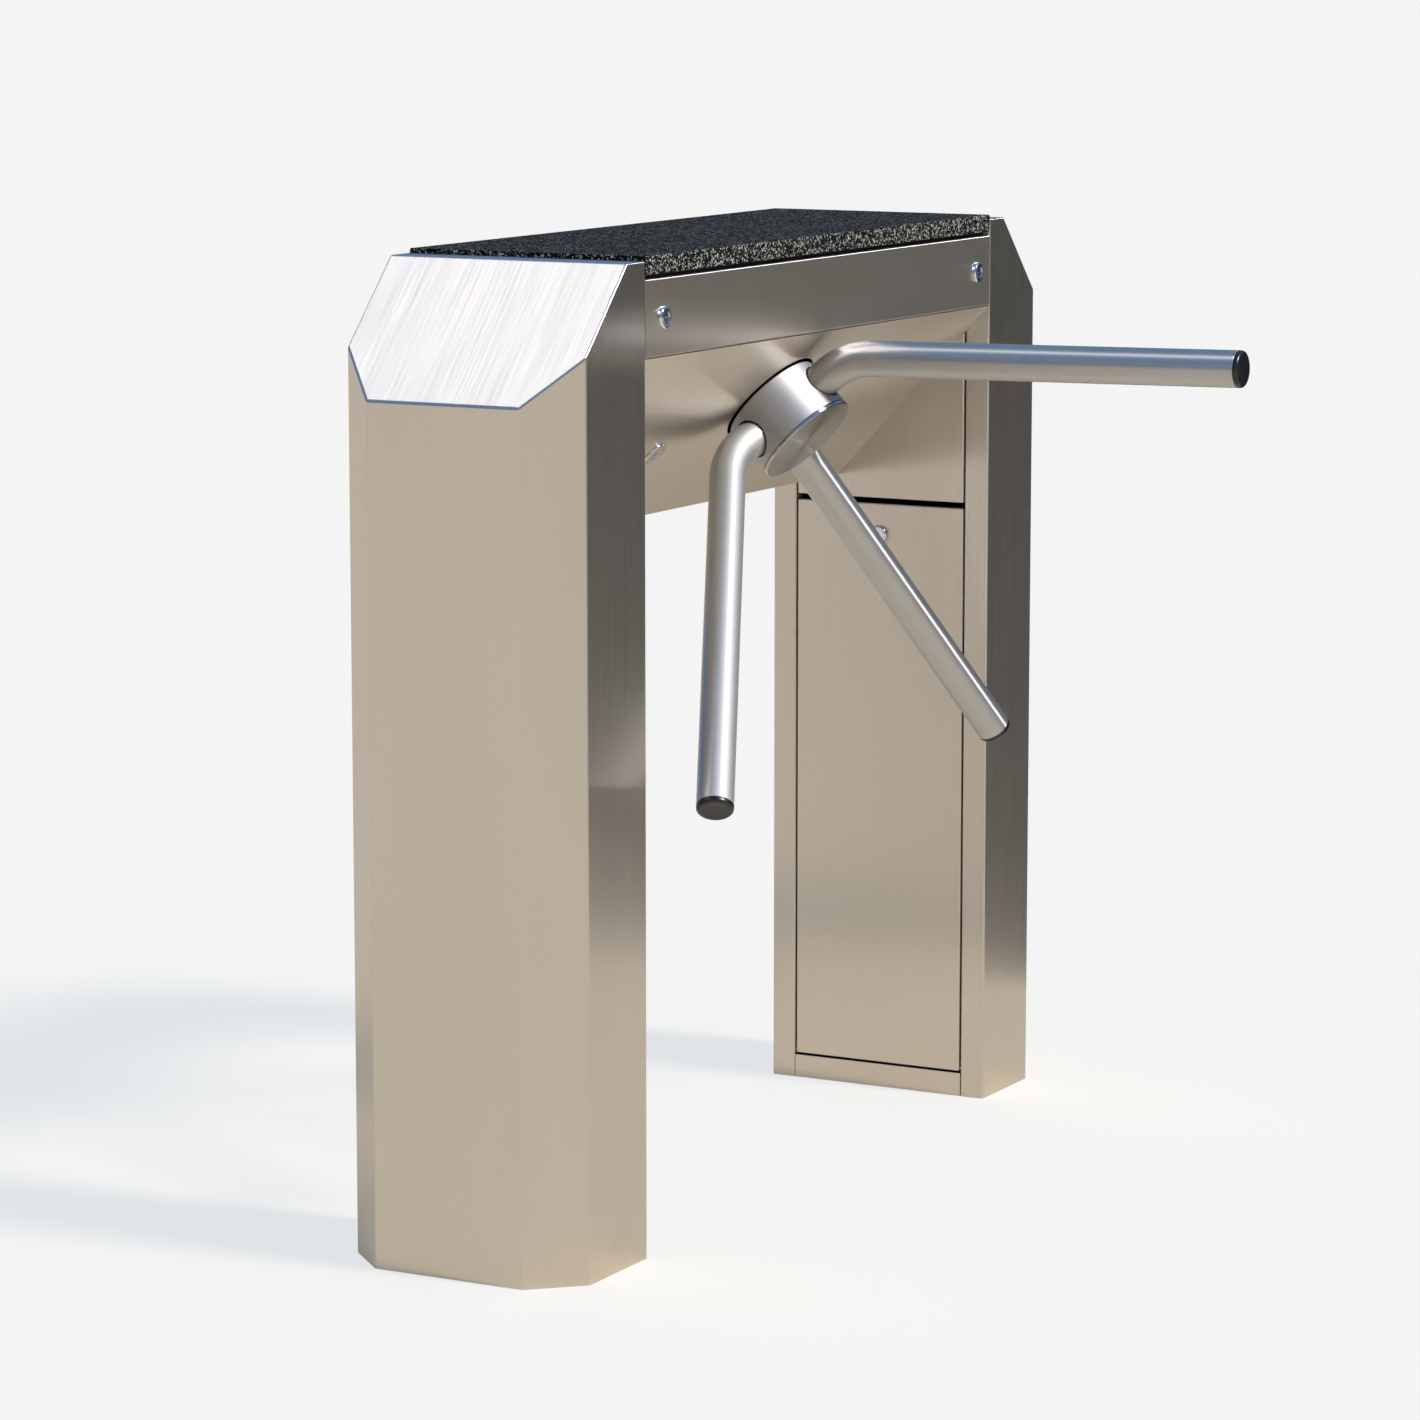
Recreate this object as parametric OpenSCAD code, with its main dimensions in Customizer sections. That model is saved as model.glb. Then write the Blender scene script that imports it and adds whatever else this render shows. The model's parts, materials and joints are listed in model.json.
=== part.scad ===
// Tripod turnstile: two posts with chamfered corners, a bridge between them and a tilted rotor.
// X runs across the cabinet towards the passage, Y along it, Z up, origin on the floor at its centre.
// The near post stands at -Y and the far post at +Y.

/* [Posts] */
// Length over both posts
cab_l = 1172; // [1100:1:1400]
// Width of the posts and of the bridge
cab_w = 283; // [275:1:330]
// Height of the posts
post_h = 1050; // [1045:1:1080]
// Depth of each post along the cabinet
post_d = 171; // [150:1:200]
// Corner chamfer, measured across the cabinet
corner_x = 52; // [30:1:70]
// Corner chamfer, measured along the cabinet
corner_y = 48; // [30:1:70]
// Length of the sloping top facet along the cabinet
facet_l = 133; // [90:1:140]
// Drop of the sloping top facet
facet_drop = 139; // [90:1:200]
// Thickness of the post sheet
post_sheet = 2; // [1.5:0.1:3]
// Width of the face stiles beside the door
stile_w = 30; // [24:1:36]
// Depth of the stiles' inward return
stile_return = 15; // [10:1:20]
// Height of the sill strip under the door
sill_h = 28; // [20:1:40]
// Depth of the sill's top fold
sill_fold = 18; // [8:1:20]
// Height of the header strip over the fixed panel
header_h = 50; // [40:1:60]

/* [Base plates] */
// Thickness of the base plates
base_t = 8; // [5:1:12]
// Radius of the floor anchor holes
anchor_r = 7; // [5:0.5:9]
// Spacing of the anchor holes across the cabinet
anchor_x = 190; // [160:1:200]
// Distance of the outer anchor holes from the post's outer end
anchor_end = 62; // [58:1:70]
// Spacing of the anchor holes along the cabinet
anchor_y = 76; // [60:1:80]
// Radius of the cable entry
cable_r = 25; // [15:1:30]

/* [Doors] */
// Distance of the door's upper edge below the underside of the bridge
door_down = 32; // [21:1:60]
// Gap between the door and the fixed panel above it
door_head_gap = 6; // [4:0.5:8]
// Seam at the door's sides and foot
door_seam = 2; // [2:0.1:3]
// Thickness of the door sheet
door_sheet = 1.5; // [1:0.1:1.8]
// Depth of the door's side folds
door_fold = 24; // [22:1:30]
// Depth of the folds at the door's head and foot, and of the fixed panel's folds
head_fold = 14; // [10:1:16]
// Width of the lips on the side folds
door_lip = 12; // [8:1:16]
// Radius of the studs that the door leans on
stud_r = 2; // [1.5:0.1:2.2]
// Length of the studs
stud_l = 7; // [5:0.5:9]
// Distance of the stud axis behind the door face and above its foot
stud_set = 4; // [3.8:0.1:4.5]
// Distance of the door lock below the door's upper edge
door_lock_down = 37; // [32:1:40]

/* [Bridge] */
// Distance of the front band's folded top edge below the posts' tops
band_down = 19; // [15:1:30]
// Height of the front band
band_h = 82; // [75:1:90]
// Drop of the slope from the band to its lower edge
slope_drop = 208; // [200:1:220]
// Tilt of the rotor axis below the horizontal, square to the slope
tilt = 43.5; // [43:0.1:44.5]
// Thickness of the bridge sheets
bridge_sheet = 2; // [1.5:0.1:2.5]
// Thickness of the end plates of the bridge
end_plate_t = 5; // [4:0.5:8]
// Radius of the cable pass in each end plate
pass_r = 36; // [20:1:40]
// Side of the square cross rails
rail_s = 30; // [25:1:32]
// Wall of the cross rails
rail_wall = 2.5; // [2:0.1:4]
// Distance of the upper rail from the slope's top edge, along the slope
upper_rail_down = 11; // [10:1:14]
// Distance of the lower rail from the slope's top edge, along the slope
lower_rail_down = 245; // [240:1:250]

/* [Cover] */
// Thickness of the granite slab
slab_t = 19.5; // [15:0.5:22]
// Arris on the slab's long top edges
slab_arris = 1.5; // [0.5:0.1:3]
// Thickness of the dark bed under the slab
bed_t = 4.5; // [3:0.5:6]
// Distance of the bed from the slab's edges
bed_inset = 6; // [3:0.5:12]
// Thickness of the cover sheets
cover_sheet = 2; // [1.5:0.1:2.5]
// Clearance of the cover to the posts and the slope
cover_gap = 0.5; // [0.4:0.1:1]
// Width of the band's bottom return
band_return = 12; // [8:1:13]
// Height of the tray's rear fold
rear_fold = 12; // [11:0.5:14]
// Distance of the band locks from the posts' inner faces
band_lock_in = 37; // [35:1:39]

/* [Cover hinges] */
// Radius of the hinge pins
hinge_pin_r = 2.5; // [2:0.1:3]
// Radius of the hinge knuckles
hinge_knuckle_r = 4; // [3.8:0.1:4.5]
// Length of one knuckle
hinge_knuckle_l = 20; // [15:1:30]
// Thickness of the hinge leaves
hinge_leaf_t = 2; // [1.5:0.1:2.5]
// Height of the fixed leaf
hinge_leaf_h = 40; // [30:1:60]
// Distance of each hinge from the middle of the bridge
hinge_y = 300; // [250:1:340]

/* [Rotor] */
// Distance of the rotor axis from the slope's top edge, along the slope
axis_down = 105; // [103:1:107]
// Radius of the hub
hub_r = 58.8; // [56:0.1:60]
// Distance of the hub shell from the slope's face
hub_gap = 1.7; // [1:0.1:3]
// Length of the hub shell
shell_l = 59.1; // [57:0.1:64]
// Wall of the hub shell
hub_wall = 3; // [2:0.1:4]
// Seam between the hub shell and its cap
cap_seam = 0.5; // [0.3:0.1:0.9]
// Thickness of the hub cap
cap_t = 4; // [3:0.1:6]
// Clearance of the slope's hole round the hub
hub_hole_gap = 2.7; // [1.5:0.1:4]
// Outer diameter of the arm tubes
arm_d = 40; // [36:0.5:42]
// Wall of the arm tubes
arm_wall = 2; // [1.5:0.1:3]
// Distance of the arms' root axes from the slope's face
arm_rise = 32; // [31:0.5:34]
// Distance of the bend's corner from the rotor axis
arm_corner = 94.9; // [93:0.1:97]
// Length from the bend's corner to the end of the plug
arm_reach = 468; // [400:1:500]
// Bend radius of the arm's centre line
bend_r = 80; // [70:1:85]
// Angle of the bend
bend = 45.7; // [45:0.1:46.5]
// Thinning of the tube's wall in the bend, on each face
bend_thinning = 0.05; // [0.05:0.01:0.2]
// Turn of the rotor at rest
rotor_turn = -2.1; // [-4:0.1:0]
// Clearance of the arm holes in the hub shell
arm_hole_gap = 2; // [1:0.1:3]
// Length of the plug's head
plug_head = 6; // [4:0.5:10]
// Rounding of the plug's rim
plug_round = 3.5; // [1:0.1:3.9]
// Length of the plug inside the tube
plug_tail = 18; // [10:1:30]

/* [Mechanism] */
// Radius of the main shaft
shaft_r = 12.5; // [10:0.5:14]
// Outer radius of the bearings
bearing_r = 23.5; // [21:0.5:25]
// Width of the bearings
bearing_w = 12; // [10:0.5:12]
// Thickness of the mechanism plate
plate_t = 6; // [5:0.5:8]
// Width of the mechanism plate along the bridge
plate_w = 310; // [300:1:340]
// Radius of the bearing housing's barrel
barrel_r = 30; // [28:0.5:31]
// Radius of the bearing housing's flange
flange_r = 42; // [41:0.5:42.5]
// Thickness of the bearing housing's flange
flange_t = 8; // [6:0.5:10]
// Width of the damper gears
gear_w = 10; // [8:0.5:10]
// Radius of the damper's body
damper_r = 17; // [14:0.5:17.5]
// Length of the damper's body
damper_l = 22; // [18:0.5:24]
// Radius of the index disc
disc_r = 60; // [59:0.5:60.5]
// Thickness of the index disc
disc_t = 12; // [10:0.5:13]
// Width of the notches in the index disc
notch_w = 16; // [15.5:0.1:17]
// Depth of the notches in the index disc
notch_d = 14; // [13:0.1:16]
// Thickness of the locking levers
lever_t = 8; // [6:0.5:9]
// Bore of the solenoids, as a radius
plunger_r = 6; // [6:0.1:6.5]

/* [Locks] */
// Radius of the lock flanges on the band
band_flange_r = 12; // [11.5:0.1:13]
// Radius of the lock flanges on the doors
door_flange_r = 10.8; // [10.5:0.1:12]
// Radius of the key lock's bezel on the slope
slope_flange_r = 16; // [14:0.1:18]
// Height of the lock flanges on the band and the doors
lock_flange_h = 5; // [3:0.1:6]
// Height of the key lock's bezel on the slope
slope_flange_h = 2.5; // [2:0.1:4]
// Distance of the key lock from the rotor axis, down the slope
slope_lock_down = 65.6; // [63:0.1:68]
// Distance of the key lock from the rotor axis, towards the near post
slope_lock_side = 184; // [178:1:250]
// Radius of the lock barrels behind the sheet
lock_barrel_r = 9.5; // [8.5:0.1:10]
// Length of the lock barrels behind the sheet's face
lock_barrel_l = 18; // [16.5:0.1:19]
// Radius of the turning lock cores
lock_core_r = 6; // [5:0.1:6.5]
// Thickness of the cams
cam_t = 2; // [1.5:0.1:3]
// Width of the cams
cam_w = 10; // [8:0.5:11]
// Length of the band locks' cams
band_cam_l = 26; // [24:0.5:28]
// Length of the door locks' cams
door_cam_l = 52; // [51:0.5:56]
// Length of the slope lock's cam
slope_cam_l = 22; // [18:0.5:26]

/* [Electrics] */
// Width of the control unit and the power supply
unit_w = 120; // [90:1:150]
// Depth of the control unit and the power supply
unit_d = 50; // [35:1:55]
// Height of the control unit
control_h = 180; // [120:1:220]
// Height of the power supply
supply_h = 150; // [100:1:200]
// Height of both units above the floor
unit_z = 320; // [200:1:400]

/* [Hidden] */
$fn = 64;

// Overrun of every cut past the face that it opens
over = 1;
// Radial clearance of pieces that turn or slide in each other
running = 0.06;
// Clearance of pieces that are only pushed together
push_fit = 0.1;
// Clearance between pieces that pass each other or rest on a stop
passing = 0.4;
// Side of a box that is larger than the whole cabinet
huge = cab_l + post_h;
// Pitch angles shared by the three arms and by the six notches
arm_pitch = 120;
notch_pitch = 60;

// Cabinet
half_w = cab_w / 2;
bridge_l = cab_l - 2 * post_d;
half_bridge = bridge_l / 2;
open_w = cab_w - 2 * stile_w;
open_top = post_h - header_h;
band_top = post_h - band_down;
band_bottom = band_top - band_h;
slope_low = band_bottom - slope_drop;
door_top = slope_low - door_down;
door_foot = sill_h + door_seam;
door_w = open_w - 2 * door_seam;
stud_z = door_foot + stud_set;
door_lock_z = door_top - door_lock_down;
cover_l = bridge_l - 2 * cover_gap;
band_lock_z = band_top - band_h / 2;
band_lock_y = half_bridge - band_lock_in;
slab_z = band_top + bed_t;

// Slope and rotor frame: u runs up the slope, w towards the near post, n outwards along the axis
axis_x = half_w - axis_down * sin(tilt);
axis_z = band_bottom - axis_down * cos(tilt);
upper_rail_u = axis_down - upper_rail_down - rail_s;
lower_rail_u = axis_down - lower_rail_down - rail_s;
rail_back = -bridge_sheet - rail_s;
plate_back = rail_back - plate_t;
plate_low_u = lower_rail_u + rail_wall;
plate_high_u = upper_rail_u + rail_s - rail_wall;

// Hub: wall of the carrier round the arm roots, its base disc, the shaft's nut and the shaft's free end
core_wall = 14;
carrier_gap = 3;
carrier_base_t = 6;
nut_h = 9;
nut_r = 17;
shaft_tip = 1;
// Length by which each tube laps the bend
bend_lap = 0.5;
hub_hole_r = hub_r + hub_hole_gap;
hub_inner_r = hub_r - hub_wall;
cap_base = hub_gap + shell_l + cap_seam;
spigot_r = arm_d / 2 - arm_wall - 2 * push_fit;
core_r = arm_d / 2 + core_wall;
arm_root = core_r + arm_wall;
bend_leg = bend_r * tan(bend / 2);
bend_start = arm_corner - bend_leg;
tube_end_l = arm_reach - bend_leg - plug_head;
carrier_top = arm_rise + core_wall;
shaft_front = carrier_top + nut_h + shaft_tip;

// Bearing housing, measured along n from the slope's face
housing_gap = 2;
housing_lip = 2;
bearing_inset = 1;
bearing_shoulder = 4;
housing_front = -bridge_sheet - housing_gap;
housing_back = plate_back - housing_lip;
front_bearing_n = housing_front - bearing_inset - bearing_w;
rear_bearing_n = housing_back + bearing_inset;
flange_front = rail_back + flange_t;
flange_screw_r = (barrel_r + flange_r) / 2;

// Screws of the mechanism
screw_r = 3;
screw_head_r = 5;
screw_head_h = 4;
plate_screw_edge = 20;
plate_screw_w = plate_w / 2 - plate_screw_edge;

// Gears and index disc, behind the mechanism plate: module, teeth, and the spaces along the shaft
gear_m = 2;
gear_n = 45;
pinion_n = 15;
gear_gap = 2;
shaft_end = 6;
pinion_shaft_r = 5;
damper_cap = 3;
gear_back = housing_back - gear_gap - gear_w;
gear_r = gear_m * gear_n / 2;
pinion_r = gear_m * pinion_n / 2;
gear_mid = gear_r + pinion_r;
disc_back = gear_back - 2 * gear_gap - disc_t;
shaft_back = disc_back - shaft_end;
pinion_shaft_l = rail_back + damper_l - damper_cap - gear_gap - gear_back - gear_w;

// Locking levers: pivot below the rotor axis, tooth over the disc's rim, tail to the plunger
lever_arm = 55;
lever_bore_r = 4;
lever_tail = 28;
lever_end = 8;
lever_in = 5;
lever_out = 9;
tooth_tip = 12;
tooth_gap = 6;
tooth_lead = 3;
tooth_play = 3;
collar_r = 6;
clip_t = 2;
spring_wire = 1.2;
spring_turns = 5;
spring_steps = 12;
spring_sides = 6;
lever_back = disc_back + (disc_t - lever_t) / 2;
lever_mid = lever_back + lever_t / 2;
lever_pivot_w = disc_r + tooth_gap + tooth_tip;
tooth_w = notch_w - 2 * tooth_play;
plunger_u = -lever_arm - lever_tail;

// Solenoids and their plungers, measured outwards from the plunger's pin
plunger_pin_r = 2;
pin_play = 0.5;
plunger_start = 12;
plunger_l = 50;
cheek_w = 10;
cheek_back = 6;
solenoid_start = 26;
solenoid_l = 50;
solenoid_s = 30;
solenoid_wall = 3;

// Position sensor on the index disc's rim
sensor_w = 16;
sensor_in = 6;
sensor_out = 18;
sensor_arm = 6;
sensor_gap = 2;

// End plates of the bridge, and the keepers for the band locks' cams
plate_side_gap = 1.5;
keeper_w = 6;
keeper_t = 3;
keeper_gap = 1;
keeper_reach = 6;
keeper_x = half_w - lock_barrel_l - passing - cam_t / 2 - keeper_w / 2;
keeper_l = band_lock_in - end_plate_t - band_cam_l + keeper_reach;
wire_hole_r = 12;

// Cover hinges
rear_panel_gap = 1;
hinge_x = -half_w - hinge_knuckle_r - cover_gap;
hinge_z = band_top - hinge_knuckle_r;
rear_panel_top = band_top - rear_fold - rear_panel_gap;
hinge_space = cover_gap;

// Lock shapes, as shares of the flange's height, the barrel's length or radius, and the core's radius
dome_share = 0.6;
nut_share = 0.25;
nut_r_share = 1.35;
core_top_share = 0.8;
keyway_w_share = 0.28;
keyway_l_share = 1.2;

// Colours
steel = [0.72, 0.70, 0.67];
bright = [0.80, 0.81, 0.83];
dark_steel = [0.42, 0.43, 0.45];
black = [0.07, 0.07, 0.08];
stone = [0.13, 0.14, 0.15];
zinc = [0.62, 0.64, 0.66];
brass = [0.76, 0.62, 0.33];

// Leg of a chamfer after its corner is moved inwards by t; a is the leg wanted, b the other one
function inset_leg(a, b, t) =
    let (slant = norm([a, b])) a - t * (1 - b / slant + a / b * (1 - a / slant));

// Outline of a post from above, t inside its outer face; y runs from the post's outer end
function footprint(t) =
    let (hw = half_w - t, ax = inset_leg(corner_x, corner_y, t), ay = inset_leg(corner_y, corner_x, t))
    [[-hw + ax, t], [hw - ax, t], [hw, t + ay], [hw, post_d - t], [-hw, post_d - t], [-hw, t + ay]];

// Outline of a post from the side, t inside its outer face and open at the floor
function side_profile(t) =
    let (low = t > 0 ? -over : 0)
    let (fl = inset_leg(facet_l, facet_drop, t), fd = inset_leg(facet_drop, facet_l, t))
    [[t, low], [post_d - t, low], [post_d - t, post_h - t], [t + fl, post_h - t], [t, post_h - t - fd]];

// X of the plane that lies depth behind the slope's face, at height z
function slope_x(z, depth) = half_w + (z - band_bottom) * tan(tilt) - depth / cos(tilt);

// Height at which that plane reaches x
function slope_z(x, depth) = band_bottom + (x - half_w + depth / cos(tilt)) / tan(tilt);

// Places a piece at a post, with y running from the post's outer end; side is -1 near, 1 far
module at_post(side) {
    if (side < 0) translate([0, -cab_l / 2, 0]) children();
    else mirror([0, 1, 0]) translate([0, -cab_l / 2, 0]) children();
}

// Places a piece in the rotor frame, with x up the slope, y to the near post and z along the axis
module on_axis() {
    translate([axis_x, 0, axis_z]) rotate([0, 90 + tilt, 0]) rotate([0, 0, 180]) children();
}

// Same frame, turned with the rotor
module on_rotor(turn = 0) {
    on_axis() rotate([0, 0, rotor_turn + turn]) children();
}

// Extrudes an outline given in x and z along y, from y0 over length l
module along_y(y0, l) {
    translate([0, y0 + l, 0]) rotate([90, 0, 0]) linear_extrude(l) children();
}

module tube(outer, inner, h) {
    difference() {
        cylinder(r = outer, h = h);
        translate([0, 0, -over]) cylinder(r = inner, h = h + 2 * over);
    }
}

// Post: folded shell with two corner chamfers, a top facet, face stiles and their returns
module post_solid(t) {
    intersection() {
        translate([0, 0, t > 0 ? -over : 0]) linear_extrude(post_h - t + (t > 0 ? over : 0))
            polygon(footprint(t));
        translate([-half_w, 0, 0]) rotate([90, 0, 90]) linear_extrude(cab_w) polygon(side_profile(t));
    }
}

module post() {
    difference() {
        post_solid(0);
        post_solid(post_sheet);
        translate([-open_w / 2, post_d - post_sheet - over, -over])
            cube([open_w, post_sheet + 2 * over, open_top + over]);
    }
    for (side = [-1, 1])
        translate([side * (open_w + post_sheet) / 2 - post_sheet / 2, post_d - stile_return, base_t])
            cube([post_sheet, stile_return, open_top - base_t]);
}

module near_post() { color(steel) at_post(-1) post(); }
module far_post() { color(steel) at_post(1) post(); }

// Base plate: floor plate inside the post with four anchor holes and the cable entry
module base_plate() {
    difference() {
        linear_extrude(base_t) polygon(footprint(post_sheet));
        for (x = [-anchor_x / 2, anchor_x / 2], y = [anchor_end, anchor_end + anchor_y])
            translate([x, y, -over]) cylinder(r = anchor_r, h = base_t + 2 * over);
        translate([0, anchor_end + anchor_y / 2, -over]) cylinder(r = cable_r, h = base_t + 2 * over);
    }
}

module near_base_plate() { color(dark_steel) at_post(-1) base_plate(); }
module far_base_plate() { color(dark_steel) at_post(1) base_plate(); }

// Sill: strip with a top fold that closes the post's face under the door
module sill() {
    w = open_w - 2 * cover_gap;
    translate([-w / 2, post_d - post_sheet, 0]) cube([w, post_sheet, sill_h]);
    translate([-w / 2, post_d - sill_fold, sill_h - post_sheet]) cube([w, sill_fold, post_sheet]);
}

module door_sills() {
    color(steel) for (side = [-1, 1]) at_post(side) sill();
}

// Fixed panel over the door: shallow pan with a tab behind the header
module upper_panel() {
    low = door_top + door_head_gap;
    h = open_top - cover_gap - low;
    translate([0, post_d, 0]) {
        difference() {
            translate([-door_w / 2, -head_fold, low]) cube([door_w, head_fold, h]);
            translate([-door_w / 2 + door_sheet, -head_fold - over, low + door_sheet])
                cube([door_w - 2 * door_sheet, head_fold + over - door_sheet, h]);
        }
        translate([-door_w / 2 + stile_return, -post_sheet - door_sheet, open_top - 2 * head_fold])
            cube([door_w - 2 * stile_return, door_sheet, 3 * head_fold]);
        translate([-door_w / 2 + stile_return, -post_sheet - door_sheet, open_top - 2 * head_fold])
            cube([door_w - 2 * stile_return, post_sheet + door_sheet - cover_gap, head_fold]);
    }
}

module upper_panels() {
    color(steel) for (side = [-1, 1]) at_post(side) upper_panel();
}

// Studs on the stile returns that the doors lean on
module door_studs() {
    color(zinc) for (side = [-1, 1], end = [-1, 1])
        at_post(side) translate([end * open_w / 2, post_d - stud_set, stud_z])
            rotate([0, -end * 90, 0]) cylinder(r = stud_r, h = stud_l);
}

// Door: pan with side folds and lips, hung on the studs at its foot
module door() {
    translate([0, post_d, 0]) difference() {
        union() {
            translate([-door_w / 2, -door_sheet, door_foot])
                cube([door_w, door_sheet, door_top - door_foot]);
            for (z = [door_foot, door_top - door_sheet])
                translate([-door_w / 2, -head_fold, z]) cube([door_w, head_fold, door_sheet]);
            for (end = [-1, 1]) {
                translate([end * (door_w - door_sheet) / 2 - door_sheet / 2, -door_fold, door_foot])
                    cube([door_sheet, door_fold, door_top - door_foot]);
                translate([end * (door_w - door_lip) / 2 - door_lip / 2, -door_fold, door_foot])
                    cube([door_lip, door_sheet, door_top - door_foot]);
            }
        }
        translate([-door_w, -stud_set, stud_z]) rotate([0, 90, 0])
            cylinder(r = stud_r + running, h = 2 * door_w);
        translate([0, over, door_lock_z]) rotate([90, 0, 0])
            cylinder(r = lock_barrel_r + push_fit, h = door_sheet + 2 * over);
    }
}

module near_door() { color(steel) at_post(-1) door(); }
module far_door() { color(steel) at_post(1) door(); }

// Lock body: domed flange, barrel and nut; z is zero on the sheet's face and runs outwards
module lock_body(flange_r, flange_h, sheet) {
    dome_h = flange_h * dome_share;
    nut_t = lock_barrel_l * nut_share;
    difference() {
        union() {
            cylinder(r = flange_r, h = flange_h - dome_h);
            translate([0, 0, flange_h - dome_h]) cylinder(r1 = flange_r, r2 = flange_r - dome_h, h = dome_h);
            translate([0, 0, -lock_barrel_l]) cylinder(r = lock_barrel_r, h = lock_barrel_l);
            translate([0, 0, -sheet - nut_t]) cylinder(r = lock_barrel_r * nut_r_share, h = nut_t);
        }
        translate([0, 0, -lock_barrel_l - over])
            cylinder(r = lock_core_r + running, h = lock_barrel_l + flange_h + 2 * over);
    }
}

// Lock core: turning core with its keyway and the cam behind the barrel; the cam points along x
module lock_core(cam_l, flange_h) {
    core_top = flange_h * core_top_share;
    back = -lock_barrel_l - passing - cam_t;
    keyway_w = lock_core_r * keyway_w_share;
    keyway_l = lock_core_r * keyway_l_share;
    difference() {
        union() {
            translate([0, 0, back]) cylinder(r = lock_core_r, h = core_top - back);
            translate([0, -cam_w / 2, back]) cube([cam_l, cam_w, cam_t]);
        }
        translate([-keyway_w / 2, -keyway_l / 2, core_top - lock_barrel_l / 2])
            cube([keyway_w, keyway_l, lock_barrel_l]);
    }
}

// Lock places: each frame has z outwards and x along the cam at rest
module at_band_lock(side) {
    translate([half_w, side * band_lock_y, band_lock_z]) rotate([0, 90, 0]) children();
}

module at_door_lock(side) {
    at_post(side) translate([0, post_d, door_lock_z]) rotate([-90, 0, 0]) children();
}

module at_slope_lock() {
    on_axis() translate([-slope_lock_down, slope_lock_side, 0]) rotate([0, 0, 90]) children();
}

module door_lock_body() {
    color(bright) lock_body(door_flange_r, lock_flange_h, door_sheet);
}

module near_door_lock_body() { at_door_lock(-1) door_lock_body(); }
module far_door_lock_body() { at_door_lock(1) door_lock_body(); }
module near_door_lock_core() { color(bright) at_door_lock(-1) lock_core(door_cam_l, lock_flange_h); }
module far_door_lock_core() { color(bright) at_door_lock(1) lock_core(door_cam_l, lock_flange_h); }
module near_band_lock_core() { color(bright) at_band_lock(-1) lock_core(band_cam_l, lock_flange_h); }
module far_band_lock_core() { color(bright) at_band_lock(1) lock_core(band_cam_l, lock_flange_h); }

module cover_lock_bodies() {
    color(bright) for (side = [-1, 1])
        at_band_lock(side) lock_body(band_flange_r, lock_flange_h, cover_sheet);
}

module slope_lock_body() {
    color(bright) at_slope_lock() lock_body(slope_flange_r, slope_flange_h, bridge_sheet);
}

module slope_lock_core() { color(bright) at_slope_lock() lock_core(slope_cam_l, slope_flange_h); }

// End plate of the bridge, bolted to the post's inner face, with a keeper for the band lock's cam
module end_plate() {
    front = half_w - cover_sheet - band_return - plate_side_gap;
    top = band_top - cover_sheet - passing;
    rear = -half_w + bridge_sheet;
    low = slope_low + bridge_sheet;
    notch = rear_fold + cover_sheet;
    along_y(0, end_plate_t) difference() {
        polygon([
            [slope_x(low, bridge_sheet), low], [front, slope_z(front, bridge_sheet)], [front, top],
            [rear + notch, top], [rear, top - notch], [rear, low]
        ]);
        translate([rear / 2, (top + low) / 2]) circle(r = pass_r);
        translate([slope_x((top + low) / 2, rail_s + 2 * wire_hole_r), (top + 2 * low) / 3])
            circle(r = wire_hole_r);
    }
    translate([keeper_x, 0, band_lock_z + cam_w / 2 + keeper_gap])
        cube([keeper_w, end_plate_t + keeper_l, keeper_t]);
}

module bridge_end_plates() {
    color(dark_steel) for (side = [-1, 1]) at_post(side) translate([0, post_d, 0]) end_plate();
}

// Slope panel: mitred at the band and at the bottom panel, with the hub hole and the key lock's hole
module slope_panel() {
    color(steel) difference() {
        on_axis() difference() {
            translate([-huge / 2, -half_bridge, -bridge_sheet]) cube([huge, bridge_l, bridge_sheet]);
            translate([0, 0, -bridge_sheet - over]) cylinder(r = hub_hole_r, h = bridge_sheet + 2 * over);
            translate([-slope_lock_down, slope_lock_side, -bridge_sheet - over])
                cylinder(r = lock_barrel_r + push_fit, h = bridge_sheet + 2 * over);
        }
        translate([-huge, -huge / 2, band_bottom]) cube([2 * huge, huge, huge]);
        translate([-huge, -huge / 2, slope_low - huge]) cube([2 * huge, huge, huge]);
    }
}

module bottom_panel() {
    color(steel) translate([-half_w, -half_bridge, slope_low])
        cube([slope_x(slope_low, bridge_sheet) - push_fit + half_w, bridge_l, bridge_sheet]);
}

module rear_panel() {
    low = slope_low + bridge_sheet;
    color(steel) translate([-half_w, -half_bridge, low]) cube([bridge_sheet, bridge_l, rear_panel_top - low]);
}

// Cross rail: square tube between the end plates, behind the slope panel
module rail(u, holes) {
    l = bridge_l - 2 * end_plate_t;
    on_axis() difference() {
        translate([u, -l / 2, rail_back]) cube([rail_s, l, rail_s]);
        translate([u + rail_wall, -l, rail_back + rail_wall])
            cube([rail_s - 2 * rail_wall, 2 * l, rail_s - 2 * rail_wall]);
        for (w = [-plate_screw_w, plate_screw_w])
            translate([u + rail_s / 2, w, rail_back - over]) cylinder(r = screw_r + push_fit, h = holes);
    }
}

module upper_rail() { color(dark_steel) rail(upper_rail_u, rail_wall + 2 * over); }
module lower_rail() { color(dark_steel) rail(lower_rail_u, rail_wall + 2 * over); }

// Angles of the flange screws
function flange_turns() = [for (i = [0:3]) 45 + 90 * i];

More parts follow.
